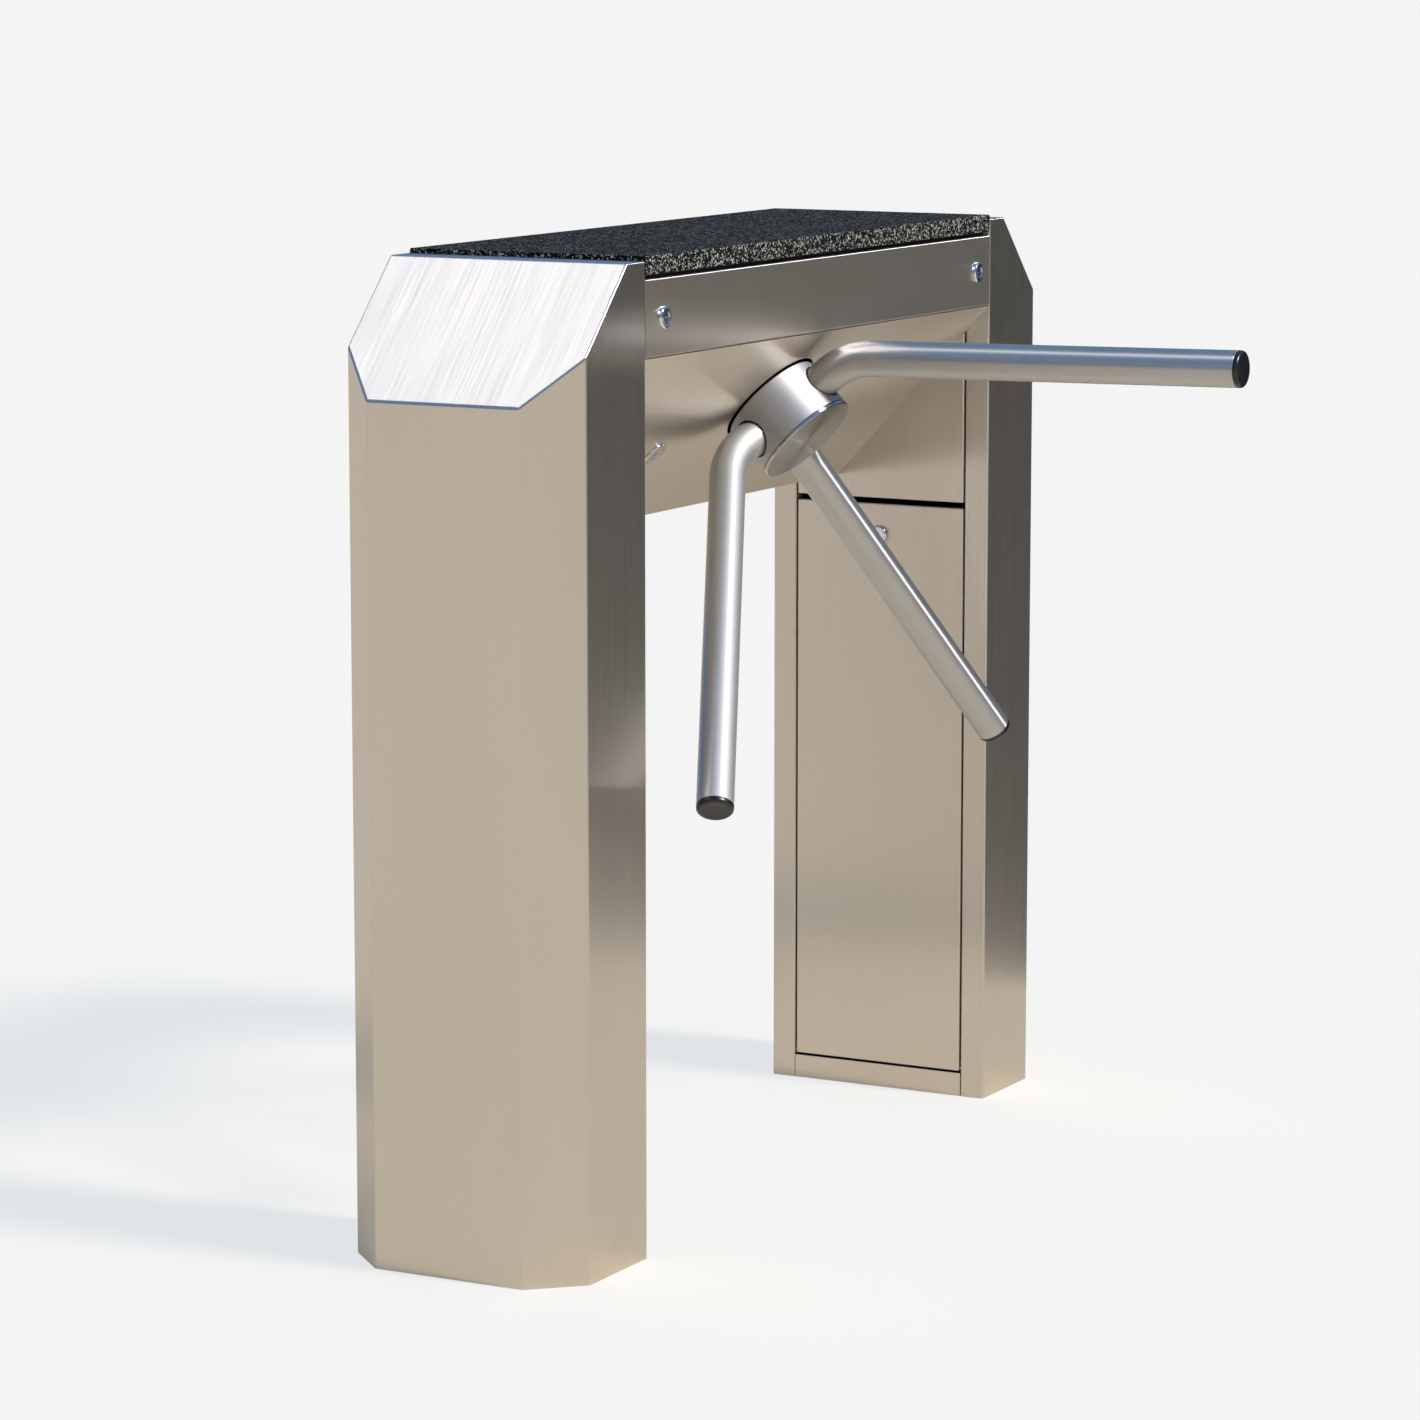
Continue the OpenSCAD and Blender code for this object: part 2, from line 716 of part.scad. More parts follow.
// Mechanism plate: bolted across both rails
module mechanism_plate() {
    color(zinc) on_axis() difference() {
        translate([plate_low_u, -plate_w / 2, plate_back])
            cube([plate_high_u - plate_low_u, plate_w, plate_t]);
        translate([0, 0, plate_back - over]) {
            cylinder(r = barrel_r + push_fit, h = plate_t + 2 * over);
            translate([0, gear_mid, 0]) cylinder(r = pinion_shaft_r + passing, h = plate_t + 2 * over);
            for (a = flange_turns())
                rotate([0, 0, a]) translate([flange_screw_r, 0, 0])
                    cylinder(r = screw_r + push_fit, h = plate_t + 2 * over);
            for (u = [upper_rail_u, lower_rail_u], w = [-plate_screw_w, plate_screw_w])
                translate([u + rail_s / 2, w, 0]) cylinder(r = screw_r + push_fit, h = plate_t + 2 * over);
        }
    }
}

module screw(l) {
    cylinder(r = screw_r, h = l);
    translate([0, 0, -screw_head_h]) cylinder(r = screw_head_r, h = screw_head_h);
}

module mechanism_screws() {
    color(bright) on_axis() {
        for (u = [upper_rail_u, lower_rail_u], w = [-plate_screw_w, plate_screw_w])
            translate([u + rail_s / 2, w, plate_back]) screw(plate_t + rail_wall + over / 2);
        for (a = flange_turns())
            rotate([0, 0, a]) translate([flange_screw_r, 0, flange_front]) rotate([180, 0, 0])
                screw(flange_t + plate_t - over);
    }
}

// Bearing housing: flanged barrel with a pocket at each end
module bearing_housing() {
    color(dark_steel) on_axis() difference() {
        union() {
            translate([0, 0, housing_back]) cylinder(r = barrel_r, h = housing_front - housing_back);
            translate([0, 0, rail_back]) cylinder(r = flange_r, h = flange_t);
        }
        translate([0, 0, housing_back - over])
            cylinder(r = bearing_r - bearing_shoulder, h = housing_front - housing_back + 2 * over);
        translate([0, 0, front_bearing_n])
            cylinder(r = bearing_r, h = housing_front - front_bearing_n + over);
        translate([0, 0, housing_back - over]) cylinder(r = bearing_r, h = bearing_w + bearing_inset + over);
        for (a = flange_turns())
            rotate([0, 0, a]) translate([flange_screw_r, 0, rail_back - over])
                cylinder(r = screw_r + push_fit, h = flange_t + 2 * over);
    }
}

// Ball bearings, with the groove between their races
module bearing() {
    groove = bearing_w / 10;
    mid = (bearing_r + shaft_r) / 2;
    half_groove = (bearing_r - shaft_r) / 5;
    difference() {
        tube(bearing_r, shaft_r + running, bearing_w);
        for (z = [-over, bearing_w - groove])
            translate([0, 0, z]) tube(mid + half_groove, mid - half_groove, groove + over);
    }
}

module shaft_bearings() {
    color(bright) on_axis() for (n = [front_bearing_n, rear_bearing_n]) translate([0, 0, n]) bearing();
}

// Rotor pieces
module main_shaft() {
    color(bright) on_rotor() translate([0, 0, shaft_back])
        cylinder(r = shaft_r, h = shaft_front - shaft_back);
}

module hub_carrier() {
    color(zinc) on_rotor() difference() {
        union() {
            translate([0, 0, carrier_gap]) cylinder(r = hub_inner_r - push_fit, h = carrier_base_t);
            translate([0, 0, carrier_gap]) cylinder(r = core_r, h = carrier_top - carrier_gap);
            for (i = [0:2]) rotate([0, 0, arm_pitch * i])
                translate([core_r / 2, 0, arm_rise]) rotate([0, 90, 0])
                    cylinder(r = spigot_r, h = hub_inner_r - core_r / 2);
        }
        translate([0, 0, carrier_gap - over]) cylinder(r = shaft_r, h = carrier_top);
    }
}

module hub_shell() {
    color(steel) on_rotor() difference() {
        translate([0, 0, hub_gap]) tube(hub_r, hub_inner_r, shell_l);
        for (i = [0:2]) rotate([0, 0, arm_pitch * i])
            translate([core_r, 0, arm_rise]) rotate([0, 90, 0])
                cylinder(r = arm_d / 2 + arm_hole_gap, h = hub_r);
    }
}

module hub_cap() {
    edge = cap_t / 5;
    color(steel) on_rotor() translate([0, 0, cap_base]) {
        cylinder(r = hub_r, h = cap_t - edge);
        translate([0, 0, cap_t - edge]) cylinder(r1 = hub_r, r2 = hub_r - edge, h = edge);
        translate([0, 0, -cap_t]) cylinder(r = hub_inner_r - push_fit, h = cap_t);
    }
}

module shaft_nut() {
    color(zinc) on_rotor() translate([0, 0, carrier_top]) difference() {
        cylinder(r = nut_r, h = nut_h, $fn = 6);
        translate([0, 0, -over]) cylinder(r = shaft_r, h = nut_h + 2 * over);
    }
}

// Frames at the start of an arm's bend, about its centre, and at its end, with z along the straight tube
module at_bend_start() {
    translate([bend_start, 0, arm_rise + bend_r]) rotate([90, 0, 0]) rotate([0, 0, -90]) children();
}

module at_bend_end() {
    translate([bend_start + bend_r * sin(bend), 0, arm_rise + bend_r * (1 - cos(bend))])
        rotate([0, 90 - bend, 0]) children();
}

// Arm: root tube, bend and straight tube
module arm() {
    inner = arm_d / 2 - arm_wall;
    translate([arm_root, 0, arm_rise]) rotate([0, 90, 0])
        tube(arm_d / 2, inner, bend_start - arm_root + bend_lap);
    at_bend_start() rotate_extrude(angle = bend) translate([bend_r, 0]) difference() {
        circle(r = arm_d / 2 - bend_thinning);
        circle(r = inner + bend_thinning);
    }
    at_bend_end() translate([0, 0, -bend_lap]) tube(arm_d / 2, inner, tube_end_l + bend_lap);
}

// Plug: black head with a rounded rim and a tail inside the tube
module plug() {
    at_bend_end() translate([0, 0, tube_end_l]) rotate_extrude() union() {
        square([arm_d / 2, plug_head - plug_round]);
        square([arm_d / 2 - plug_round, plug_head]);
        intersection() {
            translate([arm_d / 2 - plug_round, plug_head - plug_round]) circle(r = plug_round);
            square([arm_d / 2, plug_head]);
        }
        translate([0, -plug_tail]) square([arm_d / 2 - arm_wall - push_fit, plug_tail + over]);
    }
}

module level_arm() { color(steel) on_rotor(0) arm(); }
module near_arm() { color(steel) on_rotor(arm_pitch) arm(); }
module far_arm() { color(steel) on_rotor(2 * arm_pitch) arm(); }
module level_arm_plug() { color(black) on_rotor(0) plug(); }
module near_arm_plug() { color(black) on_rotor(arm_pitch) plug(); }
module far_arm_plug() { color(black) on_rotor(2 * arm_pitch) plug(); }

// Gear with straight-flanked teeth, thinned for backlash; a tooth points along x
module gear(n) {
    pitch_r = gear_m * n / 2;
    root = pitch_r - 1.3 * gear_m;
    tip = pitch_r + 0.9 * gear_m;
    half_root = 1.05 * gear_m;
    half_pitch = 0.66 * gear_m;
    half_tip = 0.3 * gear_m;
    linear_extrude(gear_w) polygon([
        for (i = [0:n - 1]) let (a = 360 / n * i)
            for (p = [[root, -half_root], [pitch_r, -half_pitch], [tip, -half_tip],
                      [tip, half_tip], [pitch_r, half_pitch], [root, half_root]])
                [p.x * cos(a) - p.y * sin(a), p.x * sin(a) + p.y * cos(a)]
    ]);
}

module drive_gear() {
    color(zinc) on_axis() translate([0, 0, gear_back]) rotate([0, 0, 90]) difference() {
        gear(gear_n);
        translate([0, 0, -over]) cylinder(r = shaft_r, h = gear_w + 2 * over);
    }
}

module damper_pinion() {
    color(brass) on_axis() translate([0, gear_mid, gear_back]) {
        rotate([0, 0, -90 + 180 / pinion_n]) gear(pinion_n);
        cylinder(r = pinion_shaft_r, h = gear_w + pinion_shaft_l);
    }
}

module damper_body() {
    color(black) on_axis() translate([0, gear_mid, rail_back]) difference() {
        cylinder(r = damper_r, h = damper_l);
        translate([0, 0, -over]) cylinder(r = pinion_shaft_r + running, h = damper_l - damper_cap + over);
    }
}

module index_disc() {
    color(dark_steel) on_axis() translate([0, 0, disc_back]) difference() {
        cylinder(r = disc_r, h = disc_t);
        translate([0, 0, -over]) cylinder(r = shaft_r, h = disc_t + 2 * over);
        for (i = [0:5]) rotate([0, 0, 90 + notch_pitch * i])
            translate([disc_r - notch_d, -notch_w / 2, -over])
                cube([2 * notch_d, notch_w, disc_t + 2 * over]);
    }
}

// Places a piece at a lever's pivot; side is -1 near, 1 far
module at_lever(side) {
    on_axis() mirror([0, side > 0 ? 1 : 0, 0]) translate([-lever_arm, lever_pivot_w, 0]) children();
}

// Locking lever: bar on a pivot, with a tooth for the notches and a slot for the plunger's pin
module lever() {
    slot = 2 * (plunger_pin_r + pin_play);
    tooth_x = lever_arm + tooth_lead - tooth_w / 2;
    translate([0, 0, lever_back]) difference() {
        union() {
            translate([-lever_tail - lever_end, -lever_in, 0])
                cube([lever_tail + lever_end + tooth_x + tooth_w, lever_in + lever_out, lever_t]);
            translate([tooth_x, -tooth_tip, 0]) cube([tooth_w, tooth_tip, lever_t]);
        }
        translate([0, 0, -over]) cylinder(r = lever_bore_r + running, h = lever_t + 2 * over);
        translate([-lever_tail - slot, -slot / 2, -over]) cube([2 * slot, slot, lever_t + 2 * over]);
    }
}

module near_lever() { color(zinc) at_lever(-1) lever(); }
module far_lever() { color(zinc) at_lever(1) lever(); }

// Lever pivots: studs on the mechanism plate, with a collar over the lever and a clip under it
module lever_pivots() {
    collar_low = lever_back + lever_t + passing;
    color(bright) for (side = [-1, 1]) at_lever(side) {
        translate([0, 0, lever_back - passing - clip_t]) {
            cylinder(r = lever_bore_r, h = plate_back - lever_back + passing + clip_t);
            cylinder(r = collar_r, h = clip_t);
        }
        translate([0, 0, collar_low]) cylinder(r = collar_r, h = plate_back - collar_low);
    }
}

// Helical spring as one tube: rings of points along the coil, joined to their neighbours
module coil(inner_r, wire_r, turns, height) {
    steps = spring_steps * turns;
    sides = spring_sides;
    mean_r = inner_r / cos(180 / spring_steps) + wire_r;
    points = [
        for (i = [0:steps]) let (a = 360 / spring_steps * i, z = height * i / steps)
            for (j = [0:sides - 1]) let (b = 360 / sides * j, r = mean_r + wire_r * cos(b))
                [r * cos(a), r * sin(a), z + wire_r * sin(b)]
    ];
    sheet = [
        for (i = [0:steps - 1], j = [0:sides - 1]) let (k = (j + 1) % sides, p = i * sides)
            each [[p + j, p + sides + k, p + k], [p + j, p + sides + j, p + sides + k]]
    ];
    caps = [
        for (j = [1:sides - 2]) let (last = steps * sides)
            each [[0, j, j + 1], [last, last + j + 1, last + j]]
    ];
    polyhedron(points, concat(sheet, caps), convexity = 4);
}

module lever_springs() {
    low = lever_back + lever_t + passing + spring_wire;
    height = plate_back - low - spring_wire;
    color(bright) for (side = [-1, 1]) at_lever(side) translate([0, 0, low])
        coil(collar_r + push_fit, spring_wire / 2, spring_turns, height);
}

// Places a piece at a plunger's pin, with y outwards along the solenoid
module at_plunger(side) {
    on_axis() mirror([0, side > 0 ? 1 : 0, 0]) translate([plunger_u, lever_pivot_w, lever_mid]) children();
}

// Plunger: rod in the solenoid, and a fork whose pin rides in the lever's slot
module plunger() {
    inner = lever_t / 2 + passing;
    translate([0, plunger_start, 0]) rotate([-90, 0, 0]) cylinder(r = plunger_r, h = plunger_l);
    for (z = [-plunger_r, inner])
        translate([-cheek_w / 2, -cheek_back, z])
            cube([cheek_w, cheek_back + plunger_start + over, plunger_r - inner]);
    translate([0, 0, -plunger_r]) cylinder(r = plunger_pin_r, h = 2 * plunger_r);
}

module near_plunger() { color(bright) at_plunger(-1) plunger(); }
module far_plunger() { color(bright) at_plunger(1) plunger(); }

// Solenoid: coil between two frame ends on a strip that lies on the mechanism plate
module solenoid() {
    drop = plate_back - lever_mid;
    translate([0, solenoid_start, 0]) difference() {
        union() {
            rotate([-90, 0, 0]) cylinder(r = (solenoid_s - solenoid_wall) / 2, h = solenoid_l);
            for (y = [0, solenoid_l - solenoid_wall])
                translate([-solenoid_s / 2, y, -solenoid_s / 2])
                    cube([solenoid_s, solenoid_wall, solenoid_s / 2 + drop]);
            translate([-solenoid_s / 2, 0, drop - solenoid_wall])
                cube([solenoid_s, solenoid_l, solenoid_wall]);
        }
        translate([0, -over, 0]) rotate([-90, 0, 0])
            cylinder(r = plunger_r + running, h = solenoid_l + 2 * over);
    }
}

module solenoids() {
    color(black) for (side = [-1, 1]) at_plunger(side) solenoid();
}

// Position sensor: fork over the index disc's rim, on a foot on the mechanism plate
module position_sensor() {
    low = disc_back - sensor_gap - sensor_arm;
    fork_l = sensor_in + sensor_out;
    color(black) on_axis() difference() {
        union() {
            translate([disc_r - sensor_in, -sensor_w / 2, low])
                cube([fork_l, sensor_w, disc_t + 2 * (sensor_gap + sensor_arm)]);
            translate([disc_r + sensor_in, -sensor_w / 2, low])
                cube([sensor_out - sensor_in, sensor_w, plate_back - low]);
        }
        translate([disc_r - sensor_in - over, -sensor_w / 2 - over, disc_back - sensor_gap])
            cube([sensor_in + sensor_gap + over, sensor_w + 2 * over, disc_t + 2 * sensor_gap]);
    }
}

// Control unit and power supply, on the outer walls inside the posts
module control_unit() {
    color(dark_steel) at_post(-1) translate([-unit_w / 2, post_sheet, unit_z])
        cube([unit_w, unit_d, control_h]);
}

module power_supply() {
    color(zinc) at_post(1) translate([-unit_w / 2, post_sheet, unit_z]) cube([unit_w, unit_d, supply_h]);
}

// Cover: granite slab, dark bed, tray and front band
module granite_slab() {
    color(stone) along_y(-cover_l / 2, cover_l) translate([0, slab_z]) polygon([
        [-half_w, 0], [half_w, 0], [half_w, slab_t - slab_arris], [half_w - slab_arris, slab_t],
        [-half_w + slab_arris, slab_t], [-half_w, slab_t - slab_arris]
    ]);
}

module slab_bed() {
    color(black) translate([-half_w + bed_inset, -cover_l / 2 + bed_inset, band_top])
        cube([cab_w - 2 * bed_inset, cover_l - 2 * bed_inset, bed_t]);
}

module cover_tray() {
    rear = -half_w + cover_gap;
    color(steel) {
        translate([rear, -cover_l / 2, band_top - cover_sheet])
            cube([half_w - cover_sheet - rear, cover_l, cover_sheet]);
        translate([rear, -cover_l / 2, band_top - rear_fold]) cube([cover_sheet, cover_l, rear_fold]);
    }
}

module cover_band() {
    low = band_bottom + cover_gap;
    color(steel) difference() {
        union() {
            translate([half_w - cover_sheet, -cover_l / 2, low]) cube([cover_sheet, cover_l, band_top - low]);
            translate([half_w - cover_sheet - band_return, -cover_l / 2, low])
                cube([band_return + cover_sheet, cover_l, cover_sheet]);
        }
        for (side = [-1, 1])
            translate([half_w - cover_sheet - over, side * band_lock_y, band_lock_z]) rotate([0, 90, 0])
                cylinder(r = lock_barrel_r + push_fit, h = cover_sheet + 2 * over);
    }
}

// Hinge frame: y along the pin, starting at one end of the three knuckles
module at_hinge(side) {
    translate([hinge_x, side * hinge_y - 1.5 * hinge_knuckle_l, hinge_z]) children();
}

module knuckle(y, l) {
    translate([0, y, 0]) rotate([-90, 0, 0]) cylinder(r = hinge_knuckle_r, h = l);
}

// Fixed leaf with two knuckles and the pin through them, screwed to the rear panel
module hinge_leaf() {
    full = 3 * hinge_knuckle_l;
    leaf_x = -half_w - hinge_leaf_t - hinge_x;
    leaf_top = rear_panel_top - over - hinge_z;
    translate([leaf_x, 0, leaf_top - hinge_leaf_h]) cube([hinge_leaf_t, full, hinge_leaf_h]);
    for (y = [0, 2 * hinge_knuckle_l]) {
        translate([leaf_x, y, leaf_top - over]) cube([hinge_leaf_t, hinge_knuckle_l, over - leaf_top]);
        knuckle(y, hinge_knuckle_l);
    }
    rotate([-90, 0, 0]) cylinder(r = hinge_pin_r, h = full);
}

module cover_hinge_leaves() {
    color(dark_steel) for (side = [-1, 1]) at_hinge(side) hinge_leaf();
}

// Moving knuckle with its leaf, fixed to the tray's rear fold
module hinge_knuckle() {
    l = hinge_knuckle_l - 2 * hinge_space;
    y = hinge_knuckle_l + hinge_space;
    leaf_low = band_top - rear_fold + cover_gap - hinge_z;
    leaf_x = -half_w + cover_gap - hinge_leaf_t - hinge_x;
    difference() {
        union() {
            knuckle(y, l);
            translate([leaf_x, y, leaf_low]) cube([hinge_leaf_t, l, hinge_knuckle_r - leaf_low]);
        }
        translate([0, y - over, 0]) rotate([-90, 0, 0]) cylinder(r = hinge_pin_r + running, h = l + 2 * over);
    }
}

module cover_hinge_knuckles() {
    color(dark_steel) for (side = [-1, 1]) at_hinge(side) hinge_knuckle();
}

near_post();
far_post();
near_base_plate();
far_base_plate();
door_sills();
upper_panels();
door_studs();
bridge_end_plates();
slope_panel();
bottom_panel();
rear_panel();
upper_rail();
lower_rail();
mechanism_plate();
bearing_housing();
shaft_bearings();
solenoids();
lever_pivots();
lever_springs();
damper_body();
position_sensor();
mechanism_screws();
control_unit();
power_supply();
slope_lock_body();
slope_lock_core();
cover_hinge_leaves();
main_shaft();
hub_carrier();
hub_shell();
hub_cap();
shaft_nut();
drive_gear();
index_disc();
level_arm();
near_arm();
far_arm();
level_arm_plug();
near_arm_plug();
far_arm_plug();
damper_pinion();
near_lever();
far_lever();
near_plunger();
far_plunger();
granite_slab();
slab_bed();
cover_tray();
cover_band();
cover_lock_bodies();
cover_hinge_knuckles();
near_band_lock_core();
far_band_lock_core();
near_door();
near_door_lock_body();
near_door_lock_core();
far_door();
far_door_lock_body();
far_door_lock_core();
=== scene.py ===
import json
import math

import bmesh
import bpy
from bpy.props import FloatProperty, FloatVectorProperty, IntProperty, PointerProperty
from mathutils import Matrix, Vector


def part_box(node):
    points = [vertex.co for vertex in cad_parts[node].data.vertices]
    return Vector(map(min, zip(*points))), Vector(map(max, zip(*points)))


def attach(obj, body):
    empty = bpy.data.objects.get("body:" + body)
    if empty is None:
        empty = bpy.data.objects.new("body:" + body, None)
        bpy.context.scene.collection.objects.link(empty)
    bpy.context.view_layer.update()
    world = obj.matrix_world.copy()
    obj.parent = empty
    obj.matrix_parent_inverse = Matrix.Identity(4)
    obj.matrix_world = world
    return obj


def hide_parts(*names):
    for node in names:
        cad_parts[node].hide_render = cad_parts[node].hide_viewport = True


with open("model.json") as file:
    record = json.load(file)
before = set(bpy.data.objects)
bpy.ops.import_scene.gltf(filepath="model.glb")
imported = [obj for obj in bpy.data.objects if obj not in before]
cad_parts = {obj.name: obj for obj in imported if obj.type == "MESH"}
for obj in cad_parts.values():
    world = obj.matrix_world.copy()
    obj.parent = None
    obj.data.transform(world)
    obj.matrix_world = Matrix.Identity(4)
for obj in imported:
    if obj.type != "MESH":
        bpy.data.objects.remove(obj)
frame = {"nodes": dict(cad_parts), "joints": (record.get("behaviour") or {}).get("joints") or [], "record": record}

bl_info = {
    "name": "Tripod turnstile",
    "version": (1, 0, 0),
    "blender": (4, 5, 0),
    "location": "View3D > Sidebar > Turnstile",
    "description": "Finishes a tripod turnstile of brushed steel and granite around its packed frame",
    "category": "Object",
}

MM = 0.001
# Places closer than this count as one, and corners closer than this are joined
NEAR, WELD = MM / 10, MM / 1000
# Widths in millimetres of the chamfers on sheet edges and on soft or rounded edges
SHEET_CHAMFER, SOFT_CHAMFER = 0.5, 0.8
# Facets round the turned pieces, and rings along an arm's bend
HUB_SEGMENTS, TUBE_SEGMENTS, RACE_SEGMENTS, LOCK_SEGMENTS, BEND_STEPS = 160, 72, 96, 64, 28
# Most values of a noise lie in this span
NOISE_SPAN = (0.3, 0.7)
# How far a metal's grain moves its tone and its gloss, and how dark and how strong its clouds are
TONE_SWING, GLOSS_SWING, CLOUD_TONE, CLOUD_SHARE = 0.02, 0.08, 0.82, 0.15
# How far a grit moves the gloss of what isn't metal
GRIT_SWING = 0.15
# Rows that a case leaves without vent slots at its head and foot
FREE_ROWS = 4
RECORD = frame["record"]
BODY_OF = {node: body for body, nodes in RECORD["behaviour"]["bodies"].items() for node in nodes}
JOINTS = {joint["name"]: joint for joint in frame["joints"]}
SIDES = {"near": -1, "far": 1}
# Sockets of a Mix node that mixes colours
MIX_FACTOR, MIX_A, MIX_B, MIX_RESULT = 0, 6, 7, 2
UP = Vector((0, 0, 1))
# UV map of a tube: metres along it and metres round it
TUBE_MAP = "along_and_round"


def linear(code):
    """Linear colour of an sRGB hex value."""
    channels = [int(code[i:i + 2], 16) / 255 for i in (1, 3, 5)]
    return tuple(c / 12.92 if c <= 0.04045 else ((c + 0.055) / 1.055) ** 2.4 for c in channels)


def length(name, about, millimetres):
    """A length that the user can change, given in millimetres."""
    return FloatProperty(name=name, description=about, default=millimetres * MM, unit="LENGTH")


def number(name, about, value, **settings):
    """A plain number or an angle that the user can change."""
    return FloatProperty(name=name, description=about, default=value, **settings)


def colour(name, about, code):
    """A colour that the user can change, given as an sRGB hex value."""
    return FloatVectorProperty(name=name, description=about, subtype="COLOR", default=linear(code),
                               min=0, max=1)


class CabinetSizes(bpy.types.PropertyGroup):
    """Sheet sizes of the posts, the doors and the bridge"""

    corner_x: length("Corner across", "Leg of the posts' corner chamfer across the cabinet", 52)
    corner_y: length("Corner along", "Leg of the posts' corner chamfer along the cabinet", 48)
    facet_l: length("Facet length", "Length of the sloping top facet along the cabinet", 133)
    facet_drop: length("Facet drop", "Drop of the sloping top facet", 139)
    sheet: length("Sheet", "Thickness of the post and bridge sheets", 2)
    fold_r: length("Fold radius", "Outer radius of the folded edges", 2.2)
    stile_w: length("Stile", "Width of the face stiles beside a door", 30)
    stile_return: length("Stile return", "Depth of the stiles' inward return", 15)
    header_h: length("Header", "Height of the strip over the fixed panel", 50)
    panel_gap: length("Panel gap", "Gap between the header and the fixed panel's head", 0.5)
    door_sheet: length("Door sheet", "Thickness of the door sheet", 1.5)
    door_fold_r: length("Door fold radius", "Outer radius of the door's folded edges", 1.9)
    door_fold: length("Door fold", "Depth of the door's side folds", 24)
    head_fold: length("Head fold", "Depth of the folds at a door's head and foot", 14)
    door_lip: length("Door lip", "Width of the lips on the side folds", 12)


class CoverSizes(bpy.types.PropertyGroup):
    """Sizes of the slab and of the cover that carries it"""

    band_return: length("Band return", "Width of the band's bottom return", 14)
    band_lip: length("Band lip", "Width of the band's folded top", 4)
    rear_fold: length("Rear fold", "Height of the tray's rear fold", 12)
    slab_arris: length("Arris", "Chamfer of the slab's top edges", 1.5)
    stone_step: length("Stone step", "Spacing of the slab's mesh", 5)
    stone_rough: length("Stone roughness", "Height of the sawn edges' roughness", 0.18)
    stone_grain: length("Stone grain", "Width of the sawn edges' roughness", 4)


class RotorSizes(bpy.types.PropertyGroup):
    """Sizes of the hub and of its three arms"""

    turn: number("Turn", "Turn of the rotor at rest", math.radians(-2.1), subtype="ANGLE")
    bend: number("Bend", "Angle of the arms' bend", math.radians(45.7), subtype="ANGLE")
    arms: IntProperty(name="Arms", description="Number of arms", default=3)
    hub_r: length("Hub radius", "Radius of the hub", 58.8)
    hub_gap: length("Hub gap", "Distance of the hub shell from the slope", 1.7)
    hub_wall: length("Hub wall", "Wall of the hub shell", 3)
    shell_l: length("Shell length", "Length of the hub shell", 59.1)
    cap_seam: length("Cap seam", "Seam between the hub shell and its cap", 0.5)
    cap_t: length("Cap", "Thickness of the hub cap", 4)
    cap_groove: length("Cap groove", "Depth of the groove that the cap's rim leaves beside the seam", 1.5)
    crisp: number("Crisp rim", "Share of the edge rounding at the shell's outer rim", 0.3)
    edge_r: length("Edge radius", "Rounding of the turned edges", 1.1)
    arm_d: length("Arm diameter", "Outer diameter of the arm tubes", 40)
    arm_wall: length("Arm wall", "Wall of the arm tubes", 2)
    arm_edge: length("Arm edge", "Chamfer of an arm's open end", 0.3)
    arm_root: length("Arm root", "Distance of the arms' inner ends from the axis", 36)
    arm_rise: length("Arm rise", "Distance of the arms' root axes from the slope", 32)
    arm_corner: length("Arm corner", "Distance of the bend's corner from the rotor axis", 94.9)
    arm_reach: length("Arm reach", "Length from the bend's corner to the end of the plug", 468)
    arm_hole_gap: length("Hole gap", "Clearance of the arm holes in the hub shell", 2)
    bend_r: length("Bend radius", "Bend radius of an arm's centre line", 80)
    plug_head: length("Plug head", "Length of a plug's head", 6)
    plug_round: length("Plug rounding", "Rounding of a plug's rim", 3.5)
    plug_dish: length("Plug dish", "Depth of the shallow dish in a plug's end", 0.5)
    dish_share: number("Dish share", "Share of a plug's flat end that its dish takes", 0.82)
    plug_tail: length("Plug tail", "Length of a plug inside its tube", 18)
    plug_room: length("Plug room", "Room behind a plug's tail", 2)


class LockSizes(bpy.types.PropertyGroup):
    """Sizes of the cam locks"""

    band_flange_r: length("Band flange", "Radius of the lock flanges on the band", 12)
    door_flange_r: length("Door flange", "Radius of the lock flanges on the doors", 10.8)
    slope_flange_r: length("Slope flange", "Radius of the key lock's bezel on the slope", 16)
    flange_h: length("Flange height", "Height of the flanges on the band and the doors", 5)
    slope_flange_h: length("Bezel height", "Height of the key lock's bezel", 2.5)
    barrel_r: length("Barrel", "Radius of the barrels behind the sheet", 9.5)
    barrel_l: length("Barrel length", "Length of the barrels behind the sheet's face", 18)
    core_r: length("Core", "Radius of the turning cores", 6)
    core_gap: length("Core gap", "Clearance round a core", 0.06)
    collar_t: length("Collar", "Width of the ring round a core", 1.6)
    dome_share: number("Dome share", "Rounded share of a flange's height", 0.62)
    nut_r: length("Nut", "Radius of the nuts behind the sheet", 12.825)
    nut_t: length("Nut thickness", "Thickness of the nuts behind the sheet", 4.5)
    band_in: length("Band lock in", "Distance of the band locks from the posts", 37)
    band_down: length("Band lock down", "Distance of the band locks below the band's top", 41)
    door_down: length("Door lock down", "Distance of the door locks below the door's head", 37)
    slope_down: length("Slope lock down", "Distance of the key lock down the slope from the rotor axis", 65.6)
    slope_side: length("Slope lock side", "Distance of the key lock from the axis along the bridge", 184)


